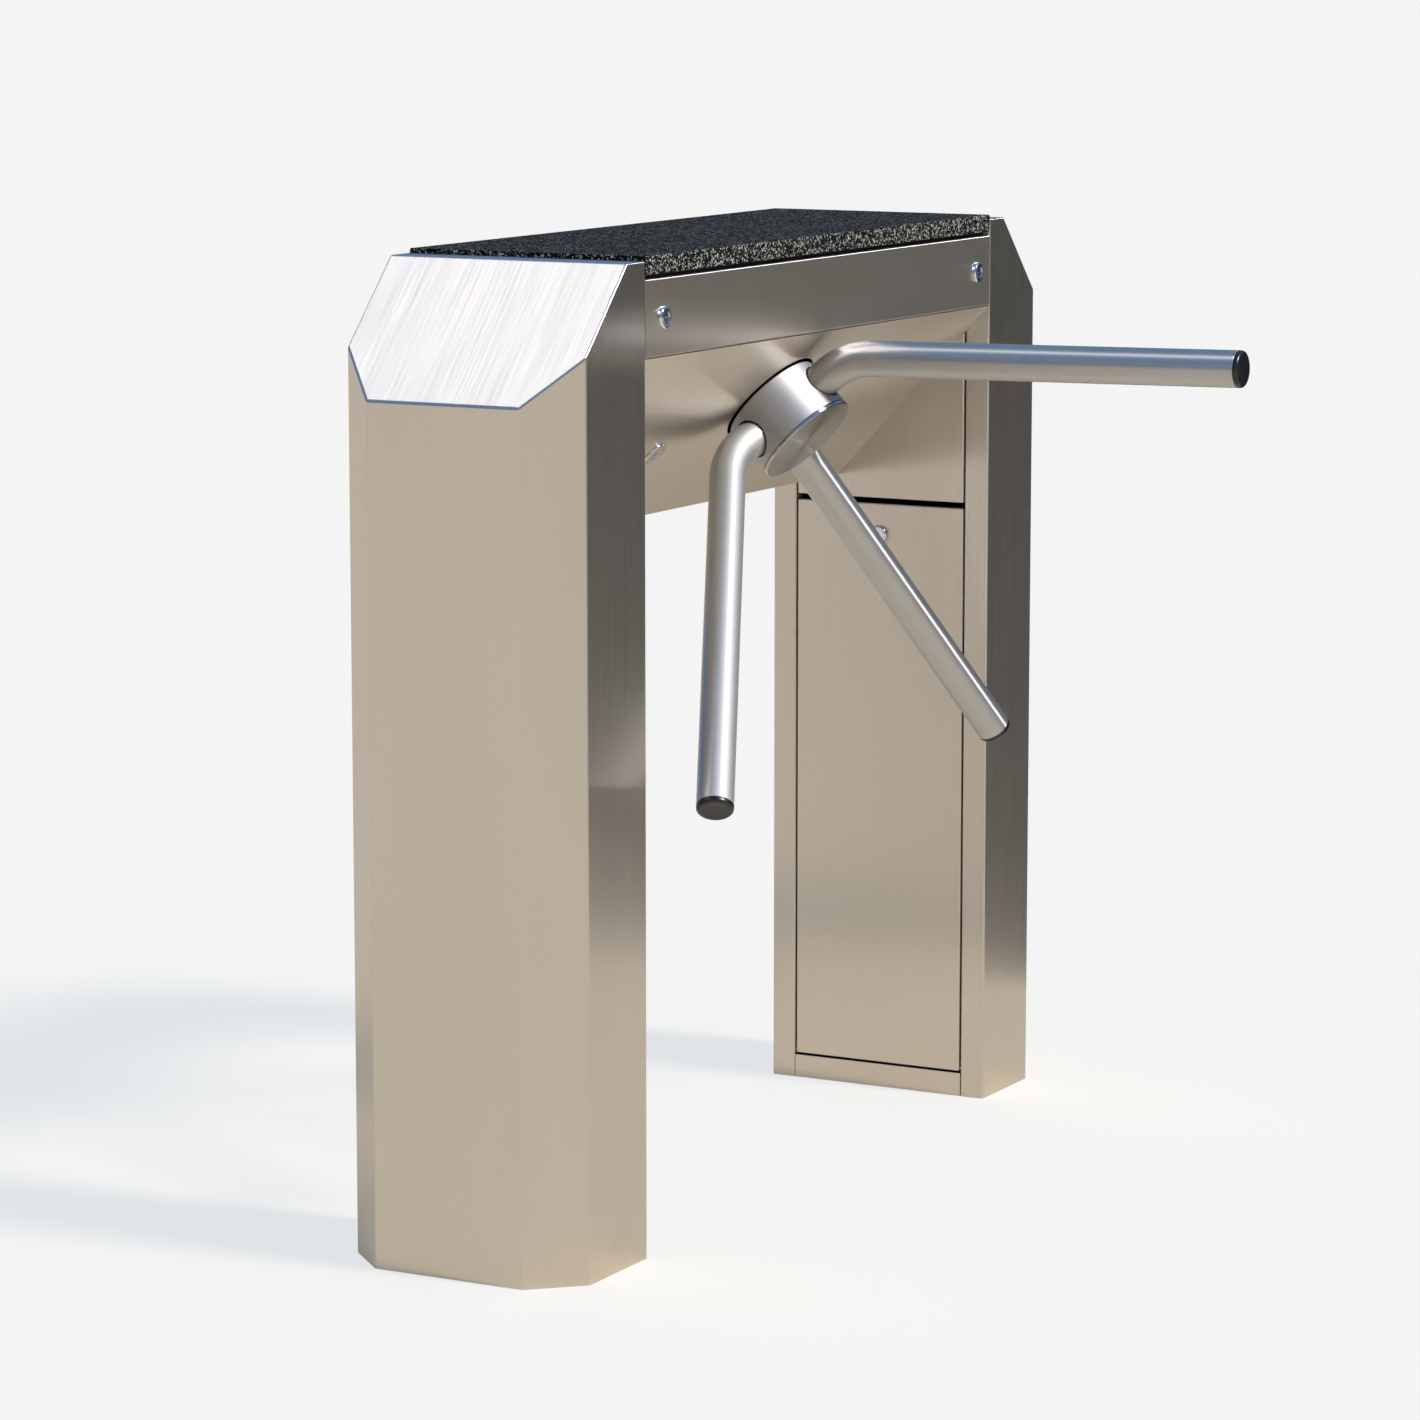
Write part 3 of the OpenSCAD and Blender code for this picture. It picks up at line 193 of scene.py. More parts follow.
class MechanismSizes(bpy.types.PropertyGroup):
    """Sizes of the bearings, screws, springs and cases inside"""

    race_t: length("Race", "Thickness of a bearing's races at their middle", 2.6)
    ball_share: number("Ball share", "Ball radius as a share of the room between the races", 0.46)
    balls: IntProperty(name="Balls", description="Balls in a bearing", default=11)
    head_r: length("Head radius", "Radius of a screw's head", 5)
    head_h: length("Head height", "Height of a screw's head", 4)
    socket_r: length("Socket", "Radius of a screw's hexagon socket over its corners", 2.9)
    socket_d: length("Socket depth", "Depth of a screw's hexagon socket", 2.5)
    shank_r: length("Shank", "Radius of a screw's shank", 3)
    wire_r: length("Wire", "Radius of the lever springs' wire", 0.6)
    coils: number("Coils", "Turns of a lever spring", 5)
    slot_l: length("Slot length", "Length of a case's vent slot", 30)
    slot_w: length("Slot width", "Width of a case's vent slot", 3)
    slot_pitch: length("Slot pitch", "Spacing of the vent slots", 9)
    column_pitch: length("Column pitch", "Spacing of the columns of vent slots", 39)
    slot_depth: length("Slot depth", "Depth of the vent slots", 1.5)


class FinishColours(bpy.types.PropertyGroup):
    """Colours of the finishes, as the object shows them"""

    # This base's warm tint is partly painted reflection: it stands in for the warm floor that the sheet's faces
    # reflect, over the steel's own near-neutral tone
    sheet: colour("Sheet", "Brushed sheet of the cabinet", "#CCC5BC")
    tube: colour("Tube", "Satin tube of the arms", "#BDBBB7")
    hub: colour("Hub", "Turned hub", "#B8B6B3")
    stone: colour("Stone", "Ground of the granite", "#15171A")
    grain: colour("Grain", "Light grains of the granite", "#B4B3A4")
    plug: colour("Plug", "Arm plugs", "#0E0F11")
    plating: colour("Plating", "Plated locks", "#D6D7DA")


class StageSizes(bpy.types.PropertyGroup):
    """Camera, floor and light"""

    camera_at: FloatVectorProperty(name="Camera", description="Place of the camera",
                                   subtype="TRANSLATION", default=(2.66793, -4.98330, 1.40170))
    camera_turn: FloatVectorProperty(name="Camera turn", description="Turn of the camera", subtype="EULER",
                                     default=(math.radians(81.111), 0, math.radians(28.219)))
    lens: number("Lens", "Focal length in millimetres", 129.15)
    floor_r: number("Floor", "Radius of the floor", 150, unit="LENGTH")
    backdrop: colour("Backdrop", "Tone of the floor and of what lies behind it in the picture", "#F4F4F4")
    floor_glow: colour("Floor glow", "Light of the floor that evens out its tone in the picture", "#F8FBFD")
    glow_share: number("Glow share", "Share of that light in the picture", 0.75)
    floor_sheen: colour("Floor sheen", "Light of the floor that the metal shows", "#FFF8ED")
    sheen_share: number("Sheen share", "Share of that light in the metal", 0.35)
    floor_paint: colour("Floor paint", "Matt paint of the floor", "#F2DFC0")
    dome: colour("Dome", "Tone of the soft dome overhead", "#7C9CCB")
    horizon: colour("Horizon", "Tone of the dome at its foot", "#8E8D8E")
    haze_foot: number("Haze foot", "Sine of the height where the horizon's tone ends", 0.02)
    haze_head: number("Haze head", "Sine of the height where the dome's tone begins", 0.2)
    card_low: FloatVectorProperty(name="Card foot", description="Near lower corner of the dark card",
                                  subtype="TRANSLATION", default=(-0.1, 1.05, 0.005))
    card_high: FloatVectorProperty(name="Card head", description="Far upper corner of the dark card",
                                   subtype="TRANSLATION", default=(8.0, 1.38, 1.35))
    card_tone: colour("Card", "Tone of the dark card", "#383E44")
    sun_from: FloatVectorProperty(name="Lamp direction", description="Direction of the lamp",
                                  subtype="DIRECTION", default=(0.715, 0.05, 0.697))
    sun_strength: number("Lamp strength", "Strength of the lamp", 3.15)
    sun_tint: colour("Lamp tint", "Tint of the lamp", "#FCF9F7")
    gleam_strength: number("Gleam strength", "Strength of the twin lamp that only gloss shows", 2.2)
    sun_angle: number("Lamp angle", "Apparent size of the lamp", math.radians(10), subtype="ANGLE")


class TurnstileSettings(bpy.types.PropertyGroup):
    """Every size and colour of the turnstile's finish"""

    cabinet: PointerProperty(type=CabinetSizes)
    cover: PointerProperty(type=CoverSizes)
    rotor: PointerProperty(type=RotorSizes)
    locks: PointerProperty(type=LockSizes)
    mechanism: PointerProperty(type=MechanismSizes)
    colours: PointerProperty(type=FinishColours)
    stage: PointerProperty(type=StageSizes)


def settings():
    """The turnstile's settings in this scene."""
    return bpy.context.scene.turnstile


# Node trees and finishes

def add(tree, kind, inputs=(), **attributes):
    """Adds a node with its settings. An input is a value, or the node or socket that is linked to it."""
    node = tree.nodes.new(kind)
    for name, value in attributes.items():
        setattr(node, name, value)
    for key, value in inputs.items() if isinstance(inputs, dict) else enumerate(inputs):
        if isinstance(value, bpy.types.Node):
            value = next(socket for socket in value.outputs if socket.enabled)
        if isinstance(value, bpy.types.NodeSocket):
            tree.links.new(value, node.inputs[key])
        else:
            node.inputs[key].default_value = value
    return node


def finish(paint):
    """The finish whose nodes paint adds, made when it is first asked for."""
    name = paint.__name__ + "_finish"
    material = bpy.data.materials.get(name)
    if material is None:
        material = bpy.data.materials.new(name)
        material.use_nodes = True
        material.node_tree.nodes.clear()
        add(material.node_tree, "ShaderNodeOutputMaterial", {"Surface": paint(material.node_tree)})
    return material


def rgba(value, factor=1.0):
    """A colour with its alpha, made lighter or darker by a factor."""
    return tuple(min(1.0, c * factor) for c in value) + (1.0,)


def streaks(tree, sizes, detail=4.0):
    """Noise whose grains have these sizes along X, Y and Z, in millimetres."""
    place = add(tree, "ShaderNodeTexCoord").outputs["Object"]
    drawn = add(tree, "ShaderNodeMapping", {"Vector": place, "Scale": [1 / (size * MM) for size in sizes]})
    return add(tree, "ShaderNodeTexNoise", {
        "Vector": drawn, "Scale": 1.0, "Detail": detail, "Roughness": 0.6})


def grains(tree, size, detail):
    """Noise whose grains are as wide in every direction, in millimetres."""
    return streaks(tree, (size, size, size), detail)


def metal(tree, base, grain, cloud, roughness, bump, depth, tangent=None, anisotropy=0.0):
    """A bare metal: the grain moves its tone, gloss and normal, and a slow cloud its tone."""
    fine = add(tree, "ShaderNodeMapRange", (grain, *NOISE_SPAN, 0, 1))
    slow = add(tree, "ShaderNodeMapRange", (cloud, *NOISE_SPAN, 0, CLOUD_SHARE))
    gloss = add(tree, "ShaderNodeMapRange", (
        grain, *NOISE_SPAN, roughness * (1 - GLOSS_SWING), roughness * (1 + GLOSS_SWING)))
    tone = add(tree, "ShaderNodeMix", {
        MIX_FACTOR: fine, MIX_A: rgba(base, 1 - TONE_SWING), MIX_B: rgba(base, 1 + TONE_SWING)},
        data_type="RGBA")
    clouded = add(tree, "ShaderNodeMix", {
        MIX_FACTOR: slow, MIX_A: tone, MIX_B: rgba(base, CLOUD_TONE)}, data_type="RGBA")
    normal = add(tree, "ShaderNodeBump", {"Height": grain, "Strength": bump, "Distance": depth * MM})
    shader = {"Base Color": clouded, "Metallic": 1.0, "Roughness": gloss, "Normal": normal}
    if tangent is not None:
        shader.update({"Tangent": tangent, "Anisotropic": anisotropy})
    return add(tree, "ShaderNodeBsdfPrincipled", shader)


def across(tree, grain):
    """Direction on the surface that runs across a grain, which spreads reflections that way."""
    normal = add(tree, "ShaderNodeNewGeometry").outputs["Normal"]
    turned = add(tree, "ShaderNodeVectorMath", (normal, grain), operation="CROSS_PRODUCT")
    return add(tree, "ShaderNodeVectorMath", (turned,), operation="NORMALIZE")


def brushed(tree, along, grain, cloud, roughness, bump, depth):
    """Belt-brushed stainless sheet: the scratches along one direction smear reflections across them."""
    return metal(tree, settings().colours.sheet, streaks(tree, grain), cloud, roughness, bump, depth,
                 across(tree, along), 1.0)


def brushed_upright(tree):
    """Belt-brushed stainless sheet with its grain upright: reflections smear into level bands."""
    # The real scratches are 0.1 mm apart; they are drawn 0.7 mm apart to show at this distance
    return brushed(tree, UP, grain=(0.7, 0.7, 260), cloud=streaks(tree, (90, 90, 400), 2.0),
                   roughness=0.29, bump=0.015, depth=0.01)


def brushed_band(tree):
    """The same sheet on the cover's band, hazier from hands and sleeves."""
    return brushed(tree, UP, grain=(0.7, 0.7, 260), cloud=streaks(tree, (120, 70, 60), 3.0),
                   roughness=0.36, bump=0.015, depth=0.01)


def brushed_facet(tree):
    """The same sheet where it is folded over the top: the grain runs along the cabinet."""
    return brushed(tree, Vector((0, 1, 0)), grain=(0.9, 110, 110), cloud=streaks(tree, (60, 140, 140), 3.0),
                   roughness=0.31, bump=0.04, depth=0.02)


def brushed_slope(tree):
    """The same sheet with its grain down the slope: reflections smear along the bridge."""
    return brushed(tree, slope_frame().col[0].xyz, grain=(110, 0.9, 110),
                   cloud=streaks(tree, (160, 60, 160), 3.0), roughness=0.33, bump=0.02, depth=0.02)


def satin_tube(tree):
    """Stainless tube ground round its girth: a thin bright line along it, in a soft haze."""
    place = add(tree, "ShaderNodeUVMap", uv_map=TUBE_MAP)
    # The real scratches are 0.1 mm apart; they are drawn 0.6 mm apart to show, and 8 mm long
    drawn = add(tree, "ShaderNodeMapping", {"Vector": place, "Scale": (1 / (0.6 * MM), 1 / (8 * MM), 1)})
    grain = add(tree, "ShaderNodeTexNoise", {"Vector": drawn, "Scale": 1.0, "Detail": 3.0, "Roughness": 0.6})
    along = add(tree, "ShaderNodeTangent", direction_type="UV_MAP", uv_map=TUBE_MAP)
    tube = (tree, settings().colours.tube, grain, grains(tree, 25, 3.0))
    # Half of the light keeps to the line that the scratches draw, and half spreads round the tube
    line = metal(*tube, roughness=0.36, bump=0.08, depth=0.02, tangent=along, anisotropy=0.97)
    haze = metal(*tube, roughness=0.53, bump=0.1, depth=0.02, tangent=across(tree, along), anisotropy=0.5)
    return add(tree, "ShaderNodeMixShader", (0.5, line, haze))


def turned_side(tree):
    """Turned stainless: rings round the hub stretch its highlights along the axis."""
    axis = slope_frame().col[2].xyz
    outward = add(tree, "ShaderNodeVectorMath", (axis,), operation="NORMALIZE")
    place = add(tree, "ShaderNodeTexCoord").outputs["Object"]
    height = add(tree, "ShaderNodeVectorMath", (place, axis), operation="DOT_PRODUCT")
    # Tool marks are 0.15 mm apart; they are drawn 0.7 mm apart to show
    grain = add(tree, "ShaderNodeTexNoise", {
        "W": height, "Scale": 1 / (0.7 * MM), "Detail": 3.0}, noise_dimensions="1D")
    return metal(tree, settings().colours.hub, grain, grains(tree, 18, 3.0), roughness=0.58, bump=0.05,
                 depth=0.02, tangent=outward, anisotropy=0.3)


def turned_face(tree):
    """Faced stainless: fine rings about the axis, whose highlights fan out from the centre."""
    place = add(tree, "ShaderNodeNewGeometry").outputs["Position"]
    spoke = add(tree, "ShaderNodeVectorMath", (place, slope_frame().translation), operation="SUBTRACT")
    reach = add(tree, "ShaderNodeVectorMath", (spoke,), operation="LENGTH")
    # Tool marks are 0.15 mm apart; they are drawn 0.8 mm apart to show
    rings = add(tree, "ShaderNodeMath", (reach, 1 / (0.8 * MM)), operation="MULTIPLY")
    grain = add(tree, "ShaderNodeTexNoise", {"W": rings, "Scale": 1.0, "Detail": 2.0}, noise_dimensions="1D")
    return metal(tree, settings().colours.hub, grain, grains(tree, 22, 2.0), roughness=0.22, bump=0.05,
                 depth=0.02, tangent=spoke, anisotropy=0.95)


def plated(tree):
    """Zinc die casting with bright nickel plate: near mirror, with a faint polish haze."""
    return metal(tree, settings().colours.plating, grains(tree, 0.5, 2.0), grains(tree, 6, 2.0),
                 roughness=0.11, bump=0.02, depth=0.01)


def zinc_plated(tree):
    """Mild steel with passivated zinc: dull blue-grey with cloudy crystals."""
    return metal(tree, linear("#A9AEB2"), grains(tree, 2.5, 4.0), grains(tree, 14, 3.0),
                 roughness=0.42, bump=0.1, depth=0.02)


def ground_steel(tree):
    """Ground bearing steel: bright, with fine grinding marks."""
    return metal(tree, linear("#C9CCD0"), grains(tree, 0.6, 3.0), grains(tree, 12, 2.0),
                 roughness=0.18, bump=0.04, depth=0.01)


def cast_aluminium(tree):
    """Sand-cast aluminium, tumbled: pebbled skin 1.5 mm across."""
    return metal(tree, linear("#B9BBBD"), grains(tree, 1.5, 3.0), grains(tree, 20, 3.0),
                 roughness=0.4, bump=0.35, depth=0.08)


def machined_brass(tree):
    """Free-cutting brass from the hobbing machine."""
    return metal(tree, linear("#C8A866"), grains(tree, 0.5, 3.0), grains(tree, 8, 2.0),
                 roughness=0.26, bump=0.05, depth=0.01)


def matt(tree, tone, grit, roughness, bump, depth, specular):
    """A surface that isn't metal, whose grit moves its gloss and normal."""
    gloss = add(tree, "ShaderNodeMapRange", (
        grit, *NOISE_SPAN, roughness * (1 - GRIT_SWING), roughness * (1 + GRIT_SWING)))
    normal = add(tree, "ShaderNodeBump", {"Height": grit, "Strength": bump, "Distance": depth * MM})
    return add(tree, "ShaderNodeBsdfPrincipled", {
        "Base Color": tone, "Roughness": gloss, "Normal": normal, "Specular IOR Level": specular})


def coated(tree, dark, light, grit, roughness, bump, depth=0.05, specular=0.5):
    """A plastic, rubber or paint: two close tones, and a grit given in millimetres."""
    cloud = add(tree, "ShaderNodeMapRange", (grains(tree, grit * 40, 3.0), *NOISE_SPAN, 0, 1))
    tone = add(tree, "ShaderNodeMix", {
        MIX_FACTOR: cloud, MIX_A: rgba(dark), MIX_B: rgba(light)}, data_type="RGBA")
    return matt(tree, tone, grains(tree, grit, 3.0), roughness, bump, depth, specular)


def moulded_polyethylene(tree):
    """Black moulded polyethylene: slightly waxy, with a spark-eroded grain of 0.4 mm."""
    return coated(tree, settings().colours.plug, linear("#1B1C1F"), grit=0.4, roughness=0.3, bump=0.15)


def black_nylon(tree):
    """Black glass-filled nylon: matt, with pale fibres just showing."""
    return coated(tree, linear("#17181A"), linear("#222427"), grit=0.5, roughness=0.5, bump=0.25)


def bed_rubber(tree):
    """Black foam rubber strip: dead matt."""
    return coated(tree, linear("#0C0C0D"), linear("#161617"), grit=0.8, roughness=0.85, bump=0.5,
                  specular=0.2)


def painted_casting(tree):
    """Grey cast iron under machinery enamel: smooth paint over a sandy skin."""
    return coated(tree, linear("#4A4E53"), linear("#565A5F"), grit=1.6, roughness=0.38, bump=0.4, depth=0.12)


def powder_coat(tree):
    """Light grey powder coat on folded steel: orange peel 1.2 mm across."""
    return coated(tree, linear("#A7ABAE"), linear("#B4B7BA"), grit=1.2, roughness=0.45, bump=0.3, depth=0.06)


def granite(tree, ground_gain, grain_gain, light_share, roughness, bump, specular):
    """Black granite: dark ground, grey feldspar grains 2.5 mm across and pale flecks 1.2 mm across."""
    place = add(tree, "ShaderNodeTexCoord").outputs["Object"]
    warp = add(tree, "ShaderNodeTexNoise", {"Vector": place, "Scale": 1 / (3 * MM), "Detail": 2.0})
    shift = add(tree, "ShaderNodeVectorMath", (warp.outputs["Color"], (MM, MM, MM)), operation="MULTIPLY")
    moved = add(tree, "ShaderNodeVectorMath", (place, shift), operation="ADD")
    feldspar, fleck = (
        add(tree, "ShaderNodeSeparateColor", {"Color": add(tree, "ShaderNodeTexVoronoi", {
            "Vector": moved, "Scale": 1 / (size * MM)}).outputs["Color"]}).outputs[channel]
        for size, channel in ((2.5, "Red"), (1.2, "Green")))
    shade = settings().colours
    tone = rgba(shade.stone, 0.55 * ground_gain)
    for spot, start, end, lighter in (
            (fleck, 0.2, 0.8, rgba(shade.stone, 1.9 * ground_gain)),
            (feldspar, 1 - light_share, 1 - light_share * 0.35, rgba(shade.grain, 0.6 * grain_gain)),
            (fleck, 0.86, 0.97, rgba(shade.grain, grain_gain))):
        share = add(tree, "ShaderNodeMapRange", (spot, start, end, 0, 1))
        tone = add(tree, "ShaderNodeMix", {MIX_FACTOR: share, MIX_A: tone, MIX_B: lighter}, data_type="RGBA")
    relief = add(tree, "ShaderNodeTexNoise", {"Vector": place, "Scale": 1 / (1.3 * MM), "Detail": 5.0})
    return matt(tree, tone, relief, roughness, bump, 0.4, specular)


def granite_honed(tree):
    """Top of the slab: honed dark, its grains barely lighter than the ground."""
    return granite(tree, ground_gain=0.55, grain_gain=0.45, light_share=0.25, roughness=0.8, bump=0.15,
                   specular=0.01)


def granite_sawn(tree):
    """Edges of the slab: sawn and left rough, so the pale grains stand out."""
    return granite(tree, ground_gain=0.26, grain_gain=1.3, light_share=0.13, roughness=0.7, bump=0.8,
                   specular=0.1)


def pale_floor(tree):
    """Matt floor paint, whose tone in the picture and in the metal is evened out by a light of its own."""
    stage = settings().stage
    path = add(tree, "ShaderNodeLightPath").outputs
    shown = add(tree, "ShaderNodeBsdfDiffuse", {"Color": rgba(stage.floor_paint)})
    for ray, tone, part in (("Is Camera Ray", stage.floor_glow, stage.glow_share),
                            ("Is Glossy Ray", stage.floor_sheen, stage.sheen_share)):
        share = add(tree, "ShaderNodeMath", (path[ray], part), operation="MULTIPLY")
        glow = add(tree, "ShaderNodeEmission", (rgba(tone),))
        shown = add(tree, "ShaderNodeMixShader", (share, shown, glow))
    return shown


def dark_card(tree):
    """Unlit card, a little bluer than grey."""
    return add(tree, "ShaderNodeEmission", (rgba(settings().stage.card_tone),))


# Places

def slope_frame():
    """Frame of the slope at the rotor axis: X up the slope, Y towards the near post, Z along the axis."""
    joint = JOINTS["rotor_spin"]
    out = Vector(joint["axis"]).normalized()
    side = Vector((0, -1, 0))
    up = side.cross(out)
    place = Matrix((up, side, out)).transposed().to_4x4()
    place.translation = Vector(joint["pos_m"])
    return place


def rotor_frame(turn=0.0):
    """Frame of the rotor, turned about its axis from the level arm."""
    return slope_frame() @ Matrix.Rotation(settings().rotor.turn + turn, 4, "Z")


def lock_frames():
    """Frame of each lock on its sheet's face, with Z outwards."""
    sizes = settings().locks
    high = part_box("cover_band")[1]
    frames = {"slope": slope_frame() @ Matrix.Translation((-sizes.slope_down, sizes.slope_side, 0))}
    for name, side in SIDES.items():
        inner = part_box(name + "_post")[1 if side < 0 else 0].y
        at = Vector((high.x, side * (abs(inner) - sizes.band_in), high.z - sizes.band_down))
        frames[name + "_band"] = Matrix.Translation(at) @ Matrix.Rotation(math.pi / 2, 4, "Y")
        door_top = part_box(name + "_door")[1].z
        at = Vector((0, inner, door_top - sizes.door_down))
        frames[name + "_door"] = Matrix.Translation(at) @ Matrix.Rotation(side * math.pi / 2, 4, "X")
    return frames


# Meshes

def piece_from(bm, name, *paints):
    """An object with that mesh and the finishes that these functions paint."""
    mesh = bpy.data.meshes.new(name)
    bm.to_mesh(mesh)
    bm.free()
    for paint in paints:
        mesh.materials.append(finish(paint))
    piece = bpy.data.objects.new(name, mesh)
    bpy.context.scene.collection.objects.link(piece)
    return piece


def plain_mesh(piece):
    """A piece's mesh with its modifiers worked in."""
    graph = bpy.context.evaluated_depsgraph_get()
    return bpy.data.meshes.new_from_object(piece.evaluated_get(graph), preserve_all_data_layers=True,
                                           depsgraph=graph)


def apply(piece, *steps):
    """Applies modifiers, each given as its kind and its settings."""
    for kind, values in steps:
        modifier = piece.modifiers.new(kind.title(), kind)
        for name, value in values.items():
            setattr(modifier, name, value)
    mesh = plain_mesh(piece)
    old = piece.data
    piece.modifiers.clear()
    piece.data = mesh
    bpy.data.meshes.remove(old)
    return piece


def dressed(piece, *steps, sharp=40.0):
    """Applies the steps, then shades the piece smooth with crisp edges and flat faces kept flat."""
    apply(piece, *steps)
    piece.data.shade_smooth()
    piece.data.set_sharp_from_angle(angle=math.radians(sharp))
    return apply(piece, ("WEIGHTED_NORMAL", {"keep_sharp": True, "weight": 60}))


def thickened(piece, sheet):
    """A folded sheet with its thickness, inwards from its outer face."""
    return dressed(piece, ("SOLIDIFY", {"thickness": sheet, "offset": -1, "use_even_offset": True}))


def chamfered(piece, width, angle, segments=2, sharp=40.0):
    """A piece whose edges over an angle are broken by a fine chamfer, its width given in millimetres."""
    return dressed(piece, ("BEVEL", {"width": width * MM, "segments": segments, "limit_method": "ANGLE",
                                     "angle_limit": math.radians(angle)}), sharp=sharp)


def stand_for(piece, *nodes):
    """The piece is shown in place of these nodes, and moves as the first of them does."""
    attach(piece, BODY_OF[nodes[0]])
    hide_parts(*nodes)
    return piece


def bevel_folds(bm, radius, segments=3):
    """Rounds every edge between two faces that meet at an angle."""
    folds = [e for e in bm.edges if len(e.link_faces) == 2 and e.calc_face_angle() > math.radians(10)]
    bmesh.ops.bevel(bm, geom=folds, offset=radius, offset_type="OFFSET", segments=segments, profile=0.5,
                    affect="EDGES", clamp_overlap=True)


def put_on(side_name, bm):
    """Leaves a near piece as it is, and turns it into the far one for the far side."""
    if side_name == "far":
        bmesh.ops.scale(bm, vec=(1, -1, 1), verts=bm.verts)
        bmesh.ops.reverse_faces(bm, faces=bm.faces)


def face_outwards(bm):
    """Makes every face look outwards."""
    bmesh.ops.recalc_face_normals(bm, faces=bm.faces)


def faces_where(bm, test):
    """Faces whose centre and normal pass a test."""
    bm.normal_update()
    return [f for f in bm.faces if test(f.calc_center_median(), f.normal)]


def drop_faces(bm, test, context="FACES"):
    """Takes away the faces whose centre and normal pass a test."""
    bmesh.ops.delete(bm, geom=faces_where(bm, test), context=context)


def rim_where(bm, test):
    """Open edges whose ends both pass a test."""
    return [e for e in bm.edges if len(e.link_faces) == 1 and all(test(v.co) for v in e.verts)]


def cut_faces(bm, faces, point, normal):
    """Cuts some faces along a plane."""
    geom = set(faces)
    for face in faces:
        geom.update(face.edges)
        geom.update(face.verts)
    bmesh.ops.bisect_plane(bm, geom=list(geom), plane_co=point, plane_no=normal)


def cut_through(bm, point, normal, **options):
    """Cuts a whole mesh along a plane, and gives the edges of the cut."""
    cut = bmesh.ops.bisect_plane(bm, geom=bm.verts[:] + bm.edges[:] + bm.faces[:], plane_co=point,
                                 plane_no=normal, **options)["geom_cut"]
    return [e for e in cut if isinstance(e, bmesh.types.BMEdge)]


def pull(bm, extruded, step):
    """Moves the new corners of an extrusion."""
    corners = [v for v in extruded["geom"] if isinstance(v, bmesh.types.BMVert)]
    bmesh.ops.translate(bm, vec=step, verts=corners)


def extrude_outline(bm, outline, start, step):
    """Solid with a polygon's outline, from a start offset over a step."""
    face = bm.faces.new([bm.verts.new(Vector(p) + start) for p in outline])
    pull(bm, bmesh.ops.extrude_face_region(bm, geom=[face]), step)
    face_outwards(bm)


def post_shell(side_name):
    """Folded shell of a post, with its face stiles and their returns."""
    sizes = settings().cabinet
    low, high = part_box("near_post")
    outer, inner, half = low.y, high.y, high.x
    opening = half - sizes.stile_w
    head = high.z - sizes.header_h
    bm = bmesh.new()
    flat, chamfer_end = half - sizes.corner_x, outer + sizes.corner_y
    extrude_outline(bm, [
        (-flat, outer, 0), (flat, outer, 0), (half, chamfer_end, 0), (half, inner, 0), (-half, inner, 0),
        (-half, chamfer_end, 0)], Vector(), (0, 0, high.z))
    bmesh.ops.edgeloop_fill(bm, edges=cut_through(
        bm, (0, outer, high.z - sizes.facet_drop), (0, -sizes.facet_drop, sizes.facet_l), clear_outer=True))
    drop_faces(bm, lambda c, n: n.z < -0.9, "FACES_ONLY")
    for point, normal in (((-opening, 0, 0), (1, 0, 0)), ((opening, 0, 0), (1, 0, 0)), ((0, 0, head), UP)):
        cut_faces(bm, faces_where(bm, lambda c, n: c.y > inner - MM and n.y > 0.9), point, normal)
    drop_faces(bm, lambda c, n: c.y > inner - MM and abs(c.x) < opening - MM and c.z < head - MM)
    face_outwards(bm)
    jambs = rim_where(bm, lambda p: abs(abs(p.x) - opening) < NEAR and p.y > inner - MM)
    pull(bm, bmesh.ops.extrude_edge_only(bm, edges=jambs), (0, -sizes.stile_return, 0))
    face_outwards(bm)
    for face in faces_where(bm, lambda c, n: n.z > 0.5):
        face.material_index = 1
    bevel_folds(bm, sizes.fold_r)
    put_on(side_name, bm)
    post = piece_from(bm, side_name + "_post_shell", brushed_upright, brushed_facet)
    stand_for(thickened(post, sizes.sheet), side_name + "_post")


def pan(low, high, face_y, side_depth, end_depth, lip):
    """Folded pan with its face towards +Y: side folds with lips, and shallower folds at head and foot."""
    bm = bmesh.new()
    back = face_y - side_depth
    extrude_outline(bm, [(low.x, 0, low.z), (high.x, 0, low.z), (high.x, 0, high.z), (low.x, 0, high.z)],
                    Vector((0, back, 0)), (0, side_depth, 0))
    drop_faces(bm, lambda c, n: c.y < back + NEAR, "FACES_ONLY")
    if end_depth < side_depth:
        cut_faces(bm, faces_where(bm, lambda c, n: abs(n.z) > 0.9), (0, face_y - end_depth, 0), (0, 1, 0))
        drop_faces(bm, lambda c, n: abs(n.z) > 0.9 and c.y < face_y - end_depth)
    for end in (-1, 1) if lip else ():
        edges = rim_where(bm, lambda p: p.y < back + NEAR and p.x * end > 0)
        pull(bm, bmesh.ops.extrude_edge_only(bm, edges=edges), (-end * lip, 0, 0))
    face_outwards(bm)
    front = faces_where(bm, lambda c, n: abs(n.y) > 0.9 and c.y > face_y - NEAR)
    if front and front[0].normal.y < 0:
        bmesh.ops.reverse_faces(bm, faces=bm.faces)
    return bm


def folded_strip(profile, start, end, radius):
    """Open folded sheet: a profile of X and Z points extruded along Y, its outside to the profile's left."""
    bm = bmesh.new()
    rows = [[bm.verts.new((x, y, z)) for x, z in profile] for y in (start, end)]
    for i in range(len(profile) - 1):
        bm.faces.new((rows[1][i], rows[1][i + 1], rows[0][i + 1], rows[0][i]))
    bm.normal_update()
    bevel_folds(bm, radius)
    return bm


